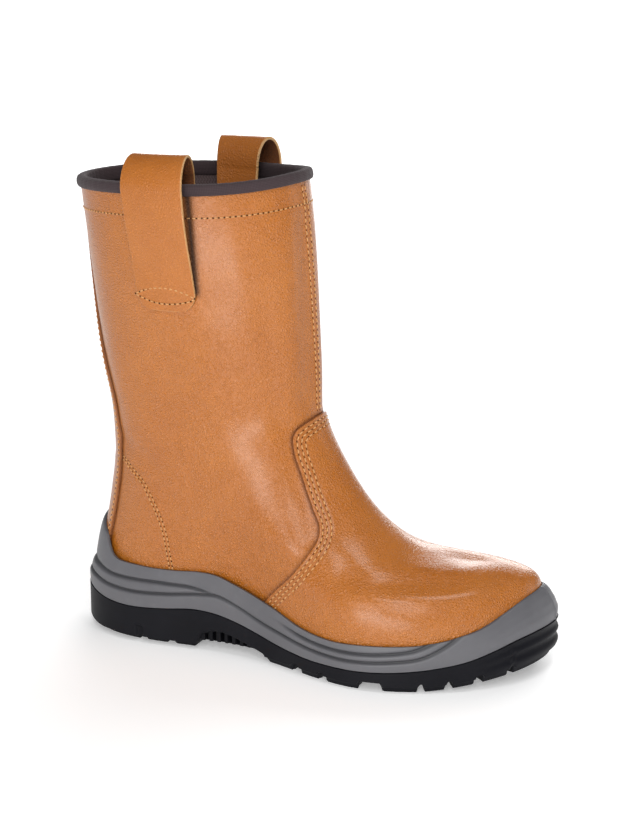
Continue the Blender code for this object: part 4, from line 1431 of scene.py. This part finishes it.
@dataclass
class Stitching:
    """Rows of thread and of painted needle-hole shade, each joined into one mesh."""

    last: Last
    radius: float = 0.42
    fill: float = 0.68
    rings: int = 7
    sides: int = 7
    hole_radius: float = 0.6
    wide_hole: float = 0.76
    hole_sides: int = 9
    lift: float = 0.05
    # Row below the binding, down the front lap and round the heel counter.
    top_row_depth: float = 17.5
    front_rows: tuple[float, ...] = (175.6, 179.4)
    front_levels: tuple[float, float] = (7.2, 10.82)
    counter_from: float = 1.31
    counter_gap: float = 2.2
    # Length of a stitch with its hole in each kind of row, and the lean of the front rows.
    vamp_pitch: float = 4.0
    backstay_pitch: float = 3.6
    top_pitch: float = 3.3
    front_pitch: float = 3.8
    front_slant: float = 0.12
    counter_pitch: float = 3.2
    leaf_pitch: float = 3.4
    twists: float = 1.6
    # Thinning of a stitch at its ends, and its arch: height in the middle and fall to the ends, in radii.
    taper: float = 0.92
    arch: tuple[float, float] = (0.45, 1.15)
    path_steps: int = 400
    front_steps: int = 60
    threads: list[Shell] = field(default_factory=list)
    holes: list[Shell] = field(default_factory=list)

    def sew(
        self, path: tuple[Array, Array], out: Height, pitch: float, slant: float = 0.0, wide: bool = False
    ) -> None:
        """Add a row of stitches along a path.

        Args:
            path: Angles and levels of the path.
            out: Height of the sewn face over the upper's face, or its height by level.
            pitch: Length of a stitch with its hole.
            slant: Sideways lean of each stitch, as a share of its length.
            wide: Whether the row was sewn with a thick needle.
        """
        angle, level = self.last.spaced(*path, pitch)
        points = self.last.skin(angle, level, out(level) if callable(out) else out)
        normal = self.last.normal(angle, level)
        self.threads.append(self.bars(points, normal, slant))
        self.holes.append(self.dots(points, normal, self.wide_hole if wide else self.hole_radius))

    def bars(self, points: Array, normal: Array, slant: float) -> Shell:
        """Arched capsules between neighbouring needle holes.

        Args:
            points: Needle holes in order.
            normal: Outward directions there.
            slant: Sideways lean, as a share of the length.

        Returns:
            All the capsules as one shell.
        """
        along = np.diff(points, axis=0)
        size = np.linalg.norm(along, axis=-1) * self.fill / 2.0
        along = unit(along)
        up = unit(normal[:-1] + normal[1:])
        side = np.cross(up, along)
        along = unit(along + side * slant)
        side = np.cross(up, along)
        centre = (points[:-1] + points[1:]) / 2.0
        step = np.linspace(-1.0, 1.0, self.rings)
        girth = self.radius * np.sqrt(1.0 - self.taper * step**4)
        height = self.radius * (self.arch[0] - self.arch[1] * step**2)
        turn = -np.pi / 2.0 + np.arange(self.sides) * TURN / self.sides
        run = along[:, None, None] * (size[:, None] * step)[:, :, None, None]
        wide = side[:, None, None] * (girth[:, None] * np.cos(turn))[None, :, :, None]
        tall = up[:, None, None] * (height[:, None] + girth[:, None] * np.sin(turn))[None, :, :, None]
        body = centre[:, None, None] + run + wide + tall
        count = len(centre)
        block = self.rings * self.sides
        ends = np.array([[0, k, k + 1, 0] for k in range(1, self.sides - 1)])
        ends = np.concatenate((ends, ends + block - self.sides))
        one = np.concatenate((grid_faces(self.rings, self.sides, True), ends))
        twist = step[:, None] * self.twists + np.arange(self.sides)[None, :] / self.sides
        masks = {"twist": np.tile(twist.ravel(), count)}
        return Shell(body.reshape(-1, 3), copies(one, count, block), masks)

    def dots(self, points: Array, normal: Array, radius: float) -> Shell:
        """Flat dark lenses of painted shade at the needle holes.

        Args:
            points: Needle holes.
            normal: Outward directions there.
            radius: Their radius.

        Returns:
            All the lenses as one shell.
        """
        side = unit(np.cross(normal, (0.3, 0.2, 0.9)))
        other = np.cross(normal, side)
        turn = np.arange(self.hole_sides) * TURN / self.hole_sides
        ring = points[:, None] + radius * (
            side[:, None] * np.cos(turn)[None, :, None] + other[:, None] * np.sin(turn)[None, :, None]
        )
        top = points + normal * self.lift
        bottom = points - normal * 4.0 * self.lift
        body = np.concatenate((ring, top[:, None], bottom[:, None]), axis=1)
        step = np.arange(self.hole_sides)
        ahead = (step + 1) % self.hole_sides
        upper = np.stack((step, ahead, np.full_like(step, self.hole_sides), step), axis=-1)
        lower = np.stack((ahead, step, np.full_like(step, self.hole_sides + 1), ahead), axis=-1)
        one = np.concatenate((upper, lower))
        return Shell(body.reshape(-1, 3), copies(one, len(points), self.hole_sides + 2))

    def joined(self, shells: list[Shell]) -> Shell:
        """Several shells as one."""
        starts = np.cumsum([0] + [len(shell.points) for shell in shells[:-1]])
        faces = np.concatenate([shell.faces + start for shell, start in zip(shells, starts)])
        keys = shells[0].masks
        masks = {key: np.concatenate([shell.masks[key] for shell in shells]) for key in keys}
        return Shell(np.concatenate([shell.points for shell in shells]), faces, masks)

    def build(self, bench: Bench, vamp: Vamp, backstay: Backstay, straps: list[PullStrap]) -> None:
        """Sew every row and make the two joined pieces.

        Args:
            bench: Maker of pieces.
            vamp: Overlay with three rows beside its seam.
            backstay: Strip with a row inside each edge.
            straps: Pull loops with a leaf of stitches on each foot.
        """
        for inset in vamp.stitch_inset:
            self.sew(vamp.stitch_path(inset), vamp.face - vamp.press, self.vamp_pitch, wide=True)
        for side in Side:
            self.sew(backstay.stitch_path(side), backstay.face, self.backstay_pitch)
        turn = np.linspace(0.0, TURN, self.path_steps)
        self.sew((turn, self.last.rim_level(turn, self.top_row_depth)), 0.0, self.top_pitch)
        level = np.linspace(*self.front_levels, self.front_steps)
        for degrees in self.front_rows:
            path = (np.full_like(level, np.radians(degrees)), level)
            self.sew(path, 0.0, self.front_pitch, self.front_slant)
        level = np.linspace(self.counter_from, self.last.counter[-1][0], self.path_steps)
        for side in Side:
            angle = -side.value * np.radians(column(self.last.counter, level))
            inner = self.last.parallel(angle, level, -side.value * self.counter_gap)
            for path in ((angle, level), inner):
                self.sew(path, 0.0, self.counter_pitch)
        for strap in straps:
            self.sew(strap.leaf_path(), strap.face, self.leaf_pitch)
        bench.piece("stitches", self.joined(self.threads), TAN_THREAD, "upper")
        bench.piece("needle_holes", self.joined(self.holes), HOLE_SHADE, "upper")


@dataclass
class Midsole:
    """Moulded grey cup with grooved bands, a rising heel point and a smooth toe bumper."""

    last: Last
    columns: int = 640
    side_rows: int = 76
    cup_rows: int = 14
    cup_clearance: float = 0.65
    bare_from: tuple[float, float] = (34.0, 44.0)
    bare_to: tuple[float, float] = (66.0, 76.0)
    lip: float = 1.6
    lip_rise: tuple[float, float] = (0.6, 1.0)
    split_gap: float = 0.5
    step_rim_inset: float = 5.25
    step_floor_inset: float = 8.25
    # How far the side leans in to the lip, by share of its height.
    lean: Table = (
        (0.0, 0.0), (0.12, 0.0), (0.31, 0.04), (0.41, 0.15), (0.58, 0.31),
        (0.68, 0.45), (0.86, 0.70), (0.96, 0.90), (1.0, 1.0),
    )
    # Grooves along x as share of the side's height, and how strongly each is cut there.
    lower_groove: Table = (
        (0.0, 0.36), (30.0, 0.37), (60.0, 0.375), (90.0, 0.41), (103.0, 0.48), (112.0, 0.455),
        (120.0, 0.42), (136.0, 0.365), (150.0, 0.38), (166.0, 0.39), (200.0, 0.36), (224.0, 0.39),
        (244.0, 0.50), (256.0, 0.75), (268.0, 1.05), (302.0, 1.6),
    )
    heel_groove: Table = (
        (0.0, 0.64), (30.0, 0.655), (60.0, 0.667), (80.0, 0.60), (100.0, 0.47), (302.0, 0.47),
    )
    heel_groove_end: tuple[float, float] = (90.0, 106.0)
    toe_groove: Table = (
        (0.0, 0.74), (150.0, 0.72), (185.0, 0.69), (224.0, 0.707), (240.0, 0.80), (252.0, 1.0), (302.0, 1.8),
    )
    toe_groove_start: tuple[float, float] = (142.0, 168.0)
    groove_depth: float = 1.5
    groove_width: float = 1.05
    crown: float = 0.55
    ridge_height: float = 0.7
    ridge_width: float = 0.9
    ridge_from: tuple[float, float] = (250.0, 280.0)
    # Shade inside the cup, in the grooves and under the step.
    cup_shade: float = 0.4
    groove_shade: float = 0.85
    step_shade: float = 0.5

    def clearance(self, turn: Array) -> Array:
        """Room between the upper's face and the cup, wider where an overlay lies between."""
        fold = np.degrees(np.minimum(turn, TURN - turn))
        bare = ease(*self.bare_from, fold) * (1.0 - ease(*self.bare_to, fold))
        return self.cup_clearance + (SEAT + OVERLAY) * (1.0 - bare)

    def grooves(self, x: Array, share: float, height: Array) -> Array:
        """How deep the grooves are cut, from 0 to 1.

        Args:
            x: Places along the boot.
            share: Share of the side's height.
            height: Height of the side at each place.

        Returns:
            Depth at each place, 1 in the bottom of a groove.
        """
        lines = (
            (self.lower_groove, np.ones_like(x)),
            (self.heel_groove, 1.0 - ease(*self.heel_groove_end, x)),
            (self.toe_groove, ease(*self.toe_groove_start, x)),
        )
        depth = np.zeros_like(x)
        for line, strength in lines:
            depth = np.maximum(depth, strength * bell((share - column(line, x)) * height, self.groove_width))
        return depth

    def build(self, bench: Bench) -> None:
        """Build and dress the cup."""
        last = self.last
        turn = np.arange(self.columns) * TURN / self.columns
        outline, outward = last.outline(turn)
        x = outline[:, 0]
        split = column(last.sole_lines, x, 2) + self.split_gap
        floor = column(last.sole_lines, x, 1) + self.split_gap
        band = column(last.sole_lines, x, 3)
        top = column(last.sole_lines, x, 4)
        clearance = self.clearance(turn)
        lip_level = last.level_at(turn, top)
        lip = last.offset(turn, lip_level, clearance + self.lip)
        ridge = self.ridge_height * bell(outline[:, 1] - outline[self.columns // 2, 1], self.ridge_width)
        ridge = ridge * ease(*self.ridge_from, x)
        shares = np.linspace(0.0, 1.0, self.cup_rows)
        rings = [last.offset(turn, lip_level * share, clearance) for share in shares]
        rings[0][:, 2] = last.point(turn, 0.0)[:, 2] - SEAT
        # Painted shade inside the cup, in the grooves and under the step.
        dark = [np.full(self.columns, self.cup_shade)] * self.cup_rows
        for share in np.linspace(1.0, 0.0, self.side_rows):
            rise = ease(*self.lip_rise, share) * share
            height = split + (band - split) * share + (top - band) * rise
            groove = self.grooves(x, share, band - split)
            crown = self.crown * (1.0 - (2.0 * share - 1.0) ** 2)
            lean = float(column(self.lean, share))
            ring = outline * (1.0 - lean) + lip * lean
            ring += outward * (crown + ridge - self.groove_depth * groove)[:, None]
            ring[:, 2] = height
            rings.append(ring)
            dark.append(self.groove_shade * groove)
        for inset, height in ((self.step_rim_inset, split), (self.step_floor_inset, floor)):
            rings.append(last.level_ring(turn, inset, height))
            dark.append(np.full(self.columns, self.step_shade))
        points = np.stack(rings)
        shell = Shell(points.reshape(-1, 3), capped(points), {"dark": np.concatenate(dark)})
        bench.piece("midsole_rubber", shell, GREY_RUBBER, "midsole", "midsole")


@dataclass
class Outsole:
    """Black tread layer with lugs, channels, ribbed arch and ribbed toe."""

    last: Last
    stations: int = 430
    arch_weight: float = 1.3
    side_rows: int = 34
    across: int = 106
    proud: float = 0.4
    bevel: float = 4.0
    heel_rounding: tuple[float, float] = (26.0, 5.0)
    toe_spring_from: float = 234.0
    toe_spring: float = 11.0
    toe_spring_power: float = 1.8
    bottom_inset: Table = ((0.0, 5.0), (50.0, 6.5), (95.0, 5.5), (150.0, 3.0), (240.0, 3.0), (302.0, 4.0))
    # Ribs round the toe: share of the side's height, inset.
    toe_ribs: Table = ((0.0, 0.5), (0.2, -0.5), (0.4, 0.7), (0.6, -0.5), (0.8, 0.7), (1.0, -0.3))
    toe_ribs_from: tuple[float, float] = (268.0, 288.0)
    step_rim_inset: float = 5.0
    step_floor_inset: float = 8.0
    # Grooves across the edge: x, width.
    edge_grooves: Table = (
        (160.5, 6.0), (180.5, 5.0), (213.0, 14.0), (242.5, 3.5), (257.5, 4.0), (272.5, 5.0), (288.0, 3.5),
    )
    edge_reach: float = 21.0
    lug_height: float = 5.0
    middle_grooves: tuple[float, ...] = (150.7, 171.3, 193.2, 215.4, 237.1, 257.3)
    middle_width: float = 5.0
    middle_height: float = 4.6
    middle_bend: float = 6.0
    channel_share: float = 0.42
    channel_width: float = 4.5
    channel_height: float = 4.8
    channel_x: tuple[float, float] = (139.0, 280.0)
    heel_grooves: Table = ((17.0, 3.0), (50.5, 4.5), (70.0, 4.0))
    heel_groove_height: float = 3.6
    # Upright notch in each side of the heel: middle x, width, height, depth.
    heel_notch: tuple[float, float, float, float] = (50.5, 4.5, 11.0, 1.8)
    heel_channel_x: tuple[float, float] = (10.0, 92.0)
    heel_channel_width: float = 5.0
    heel_channel_height: float = 3.3
    tunnel: Table = ((84.5, -1.0), (91.0, 5.3), (133.0, 5.5), (141.0, -1.0))
    recess: Table = (
        (89.0, -1.5), (90.0, 6.0), (93.0, 11.0), (98.0, 13.4), (106.0, 13.8), (114.0, 12.0),
        (122.0, 9.5), (130.0, 7.0), (137.0, 5.0), (138.0, -1.5),
    )
    recess_depth: float = 2.4
    slots_x: tuple[float, float, float] = (95.5, 130.0, 5.2)
    slot_width: float = 2.6
    slot_depth: float = 6.5
    slot_ceiling: float = 1.2
    wall: float = 0.5
    # Soft edge of the arch's hollows, and fade at the end of a groove.
    soft: tuple[float, float] = (-0.6, 0.6)
    fade: float = 1.0
    # Where the columns come closer together for the arch, and draw apart again.
    arch_in: tuple[float, float] = (80.0, 90.0)
    arch_out: tuple[float, float] = (136.0, 146.0)
    turn_steps: int = 2000
    # Least height of the side above a groove, and the rounding of the lower edge.
    above_groove: float = 0.8
    bow: tuple[float, ...] = (0.3, 0.6, 0.85)
    # Painted shade in the arch's hollows and slots, and in the tread's grooves.
    side_shade: float = 0.8
    groove_shade: float = 0.6

    def ground(self, x: Array) -> Array:
        """Height of the bottom, with a rounded heel and the spring of the toe."""
        heel = self.heel_rounding[1] * np.clip(1.0 - x / self.heel_rounding[0], 0.0, 1.0) ** 2
        share = (x - self.toe_spring_from) / (self.last.length - self.toe_spring_from)
        return heel + self.toe_spring * np.clip(share, 0.0, 1.0) ** self.toe_spring_power

    def within(self, distance: Array, half: float) -> Array:
        """1 inside a groove's half-width and 0 outside it, with a slightly sloping wall."""
        return 1.0 - ease(half - self.wall, half + self.wall, np.abs(distance))

    def between(self, ends: tuple[float, float], x: Array) -> Array:
        """1 between two places along the boot and 0 beyond them, with a short fade."""
        start, stop = ends
        opened = ease(start - self.fade, start + self.fade, x)
        return opened * (1.0 - ease(stop - self.fade, stop + self.fade, x))

    def sides_at(self, x: Array) -> tuple[Array, Array]:
        """Y of the outline's outer and inner side along x."""
        turn = np.arccos(1.0 - 2.0 * np.clip(x, 0.0, self.last.length) / self.last.length)
        flat = turn.ravel()
        outer = self.last.outline(flat)[0][:, 1].reshape(x.shape)
        inner = self.last.outline(TURN - flat)[0][:, 1].reshape(x.shape)
        return outer, inner

    def tread(self, points: Array) -> Array:
        """How far the grooves lift the bottom above the ground line.

        Args:
            points: Places on the bottom, of any shape.

        Returns:
            One lift for each place.
        """
        x, y = points[..., 0], points[..., 1]
        ground = self.ground(x)
        outer, inner = self.sides_at(x)
        centre = (outer + inner) / 2.0
        half = self.channel_share * (inner - outer) / 2.0
        lift = np.clip(np.interp(x, *np.array(self.tunnel).T, left=-1.0, right=-1.0) - ground, 0.0, None)
        reach = self.between(self.channel_x, x)
        for side in Side:
            cut = self.within(y - centre - side.value * half, self.channel_width / 2.0) * reach
            lift = np.maximum(lift, self.channel_height * cut)
        for start in self.middle_grooves:
            bend = self.middle_bend * (1.0 - np.abs(y - centre) / half)
            cut = self.within(x - start - bend - self.middle_width / 2.0, self.middle_width / 2.0)
            cut = cut * self.within(y - centre, half)
            lift = np.maximum(lift, self.middle_height * cut)
        for start, width in self.edge_grooves:
            turn = math.acos(1.0 - 2.0 * start / self.last.length)
            for angle in (turn, TURN - turn):
                place, outward = self.last.outline(np.array([angle]))
                away = points - place[0]
                along = away[..., 0] * -outward[0, 1] + away[..., 1] * outward[0, 0]
                depth = -(away[..., 0] * outward[0, 0] + away[..., 1] * outward[0, 1])
                cut = self.within(along, width / 2.0)
                cut = cut * (1.0 - ease(self.edge_reach - self.fade, self.edge_reach + self.fade, depth))
                near = (y - centre) * np.sign(place[0, 1] - centre) > 0.0
                lift = np.maximum(lift, self.lug_height * cut * near)
        for start, width in self.heel_grooves:
            cut = self.within(x - start, width / 2.0)
            lift = np.maximum(lift, np.clip(self.heel_groove_height - ground, 0.0, None) * cut)
        cut = self.within(y, self.heel_channel_width / 2.0) * self.between(self.heel_channel_x, x)
        return np.maximum(lift, np.clip(self.heel_channel_height - ground, 0.0, None) * cut)

    def hollow(self, x: Array, z: Array) -> Array:
        """Depth of the arch's recess and of the slots between its ribs, on the side.

        Args:
            x: Places along the side.
            z: Heights on the side.

        Returns:
            One inset for each place.
        """
        ceiling = np.interp(x, *np.array(self.recess).T, left=-9.0, right=-9.0)
        depth = self.recess_depth * (1.0 - ease(*self.soft, z - ceiling))
        slots = np.zeros_like(x)
        for middle in np.arange(*self.slots_x):
            slots = np.maximum(slots, self.within(x - middle, self.slot_width / 2.0))
        under = 1.0 - ease(*self.soft, z - ceiling + self.slot_ceiling)
        depth = np.maximum(depth, self.slot_depth * slots * under)
        middle, width, top, notch = self.heel_notch
        below = 1.0 - ease(top - self.fade, top + self.fade, z)
        return np.maximum(depth, notch * self.within(x - middle, width / 2.0) * below)

    def turns(self) -> Array:
        """Angles of the columns, closer together along the arch, in mirrored pairs."""
        even = np.linspace(0.0, np.pi, self.turn_steps)
        x = self.last.length * (1.0 - np.cos(even)) / 2.0
        arch = ease(*self.arch_in, x) * (1.0 - ease(*self.arch_out, x))
        weight = np.cumsum(1.0 + self.arch_weight * arch)
        weight = (weight - weight[0]) / (weight[-1] - weight[0])
        half = np.interp(np.linspace(0.0, 1.0, self.stations + 1), weight, even)
        return np.concatenate((half, TURN - half[-2:0:-1]))

    def build(self, bench: Bench) -> None:
        """Build and dress the tread layer."""
        last = self.last
        turn = self.turns()
        size = len(turn)
        outline, _ = last.outline(turn)
        x = outline[:, 0]
        split = column(last.sole_lines, x, 2)
        floor = column(last.sole_lines, x, 1)
        ground = self.ground(x)
        ribs = ease(*self.toe_ribs_from, x)
        base, _ = last.outline(turn, column(self.bottom_inset, x))
        lift = self.tread(base)
        base[:, 2] = ground + lift
        start = ground + np.maximum(self.bevel, lift + self.above_groove)
        rings, dark = [], []
        for inset, height in ((self.step_floor_inset, floor), (self.step_rim_inset, split)):
            rings.append(last.level_ring(turn, inset, height))
            dark.append(np.zeros(size))
        for share in np.linspace(1.0, 0.0, self.side_rows):
            height = start + (split - start) * share
            rib = float(column(self.toe_ribs, share))
            hollow = self.hollow(x, height)
            rings.append(last.level_ring(turn, rib * ribs - self.proud + hollow, height))
            dark.append(self.side_shade * np.clip(hollow / self.slot_depth, 0.0, 1.0))
        side = rings[-1]
        bows = [np.array((share, share, 1.0 - math.sqrt(1.0 - share * share))) for share in self.bow]
        for bow in (*bows, 1.0):
            rings.append(side + (base - side) * bow)
            dark.append(np.zeros(size))
        points = np.stack(rings)
        half = self.stations
        outer = base[:half + 1]
        inner = np.concatenate((base[:1], base[:half - 1:-1]))
        share = np.linspace(0.0, 1.0, self.across)[None, 1:-1, None]
        bottom = outer[1:-1, None] * (1.0 - share) + inner[1:-1, None] * share
        raised = self.tread(bottom)
        bottom[..., 2] = self.ground(bottom[..., 0]) + raised
        count = len(points) * size
        rim = count - size
        inside = count + np.arange(bottom.shape[0] * bottom.shape[1]).reshape(bottom.shape[:2])
        outer_index = rim + np.arange(1, half)[:, None]
        inner_index = rim + (size - np.arange(1, half))[:, None]
        index = np.hstack((outer_index, inside, inner_index))
        faces = [grid_faces(len(points), size, True), rungs(0, size), quads_of(index)]
        for row, tip in ((index[0], rim), (index[-1], rim + half)):
            ends = np.full(len(row) - 1, tip)
            faces.append(np.stack((ends, row[:-1], row[1:], ends), axis=-1))
        # Painted shade in the tread's grooves.
        grooves = self.groove_shade * np.clip(raised / self.lug_height, 0.0, 1.0)
        shade = np.concatenate((*dark, grooves.ravel()))
        flat = np.concatenate((points.reshape(-1, 3), bottom.reshape(-1, 3)))
        shell = Shell(flat, np.concatenate(faces), {"dark": shade})
        bench.piece("outsole_rubber", shell, BLACK_RUBBER, "outsole", "outsole")


@dataclass(frozen=True)
class Softbox:
    """Soft lamp, its place and size in metres."""

    name: str
    place: tuple[float, float, float]
    width: float
    height: float
    watts: float
    target: tuple[float, float, float] = (0.0, 0.0, 0.15)
    # Whether shiny faces mirror the lamp.
    mirrored: bool = True

    def build(self) -> None:
        """Make the lamp and turn it to its target."""
        data = bpy.data.lights.new(self.name, "AREA")
        data.shape = "RECTANGLE"
        data.size = self.width
        data.size_y = self.height
        data.energy = self.watts
        lamp = bpy.data.objects.new(self.name, data)
        lamp.visible_glossy = self.mirrored
        lamp.location = self.place
        lamp.rotation_euler = (Vector(self.target) - lamp.location).to_track_quat("-Z", "Y").to_euler()
        bpy.context.scene.collection.objects.link(lamp)


@dataclass
class Studio:
    """Pale floor, soft lamps and the camera at the photo's angle."""

    target: tuple[float, float, float] = (150.0, 0.0, 150.0)
    azimuth: float = 23.5
    distance: float = 1249.4
    eye_height: float = 472.08
    focal_pixels: float = 2129.88
    frame_pixels: tuple[int, int] = (640, 827)
    target_pixel: tuple[float, float] = (309.74, 411.47)
    sensor: float = 36.0
    floor_half: float = 14.0
    floor_colour: Colour = (0.88, 0.88, 0.88)
    sky: Colour = (1.0, 1.0, 1.0)
    sky_strength: float = 0.17
    lamps: tuple[Softbox, ...] = (
        Softbox("key", (0.59, -1.46, 0.85), 0.6, 0.6, 6.5),
        Softbox("front", (0.0, -1.50, 0.40), 0.45, 0.6, 3.6),
        Softbox("board", (0.08, -0.80, 0.07), 0.55, 0.13, 1.8, (0.0, 0.0, 0.12)),
        Softbox("side", (1.45, 0.68, 0.35), 0.5, 0.8, 1.6),
        Softbox("high", (0.45, -1.30, 1.50), 0.5, 0.5, 6.7, (0.0, 0.0, 0.25)),
        Softbox("top", (0.52, -0.25, 1.60), 0.45, 0.45, 5.5, (0.1, 0.0, 0.06)),
        Softbox("back", (-1.07, 3.85, 0.92), 2.2, 1.2, 46.0, (0.1, 0.0, 0.06)),
        Softbox("backdrop", (0.0, 5.2, 3.6), 6.0, 5.0, 420.0, (0.0, 5.6, 0.0), False),
    )

    def build(self, bench: Bench) -> None:
        """Build the floor, light and camera."""
        self.build_floor(bench)
        for lamp in self.lamps:
            lamp.build()
        self.build_sky()
        self.build_camera()

    def build_floor(self, bench: Bench) -> None:
        """Flat pale sheet under the boot."""
        half = self.floor_half
        corners = [(-half, -half, 0.0), (half, -half, 0.0), (half, half, 0.0), (-half, half, 0.0)]
        data = bpy.data.meshes.new("floor")
        data.from_pydata(corners, [], [(0, 1, 2, 3)])
        data.materials.append(bench.material(Paper("studio_paper", self.floor_colour)))
        floor = bpy.data.objects.new("floor", data)
        bpy.context.scene.collection.objects.link(floor)

    def build_sky(self) -> None:
        """Even white light from all round."""
        world = bpy.data.worlds.new("studio")
        world.use_nodes = True
        shader = world.node_tree.nodes["Background"]
        shader.inputs["Color"].default_value = (*self.sky, 1.0)
        shader.inputs["Strength"].default_value = self.sky_strength
        bpy.context.scene.world = world
        bpy.context.scene.view_settings.view_transform = "Standard"

    def build_camera(self) -> None:
        """Camera with the photo's angle, distance and framing."""
        target = Vector((np.array(self.target) - ORIGIN) * MM)
        longest = max(self.frame_pixels)
        data = bpy.data.cameras.new("camera")
        data.sensor_width = self.sensor
        data.lens = self.focal_pixels * self.sensor / longest
        data.shift_x = (self.frame_pixels[0] / 2.0 - self.target_pixel[0]) / longest
        data.shift_y = (self.target_pixel[1] - self.frame_pixels[1] / 2.0) / longest
        camera = bpy.data.objects.new("camera", data)
        turn = math.radians(self.azimuth)
        reach = self.distance * MM
        camera.location = (
            target.x + reach * math.sin(turn), target.y - reach * math.cos(turn), self.eye_height * MM,
        )
        camera.rotation_euler = (target - camera.location).to_track_quat("-Z", "Y").to_euler()
        bpy.context.scene.collection.objects.link(camera)
        bpy.context.scene.camera = camera


def main() -> None:
    """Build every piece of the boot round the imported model."""
    logging.basicConfig(level=logging.INFO, format="%(name)s: %(message)s")
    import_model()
    last = Last()
    bench = Bench()
    vamp = Vamp(last)
    backstay = Backstay(last)
    straps = [
        PullStrap(last, Side.LATERAL, 88.6, 91.5, 91.5, 1.0),
        PullStrap(last, Side.MEDIAL, -96.0, -99.5, -103.5, 0.0),
    ]
    Upper(last, vamp, backstay, straps).build(bench)
    for assembly in (vamp, backstay, *straps, Midsole(last), Outsole(last)):
        assembly.build(bench)
    Stitching(last).build(bench, vamp, backstay, straps)
    Studio().build(bench)


if __name__ == "__main__":
    main()
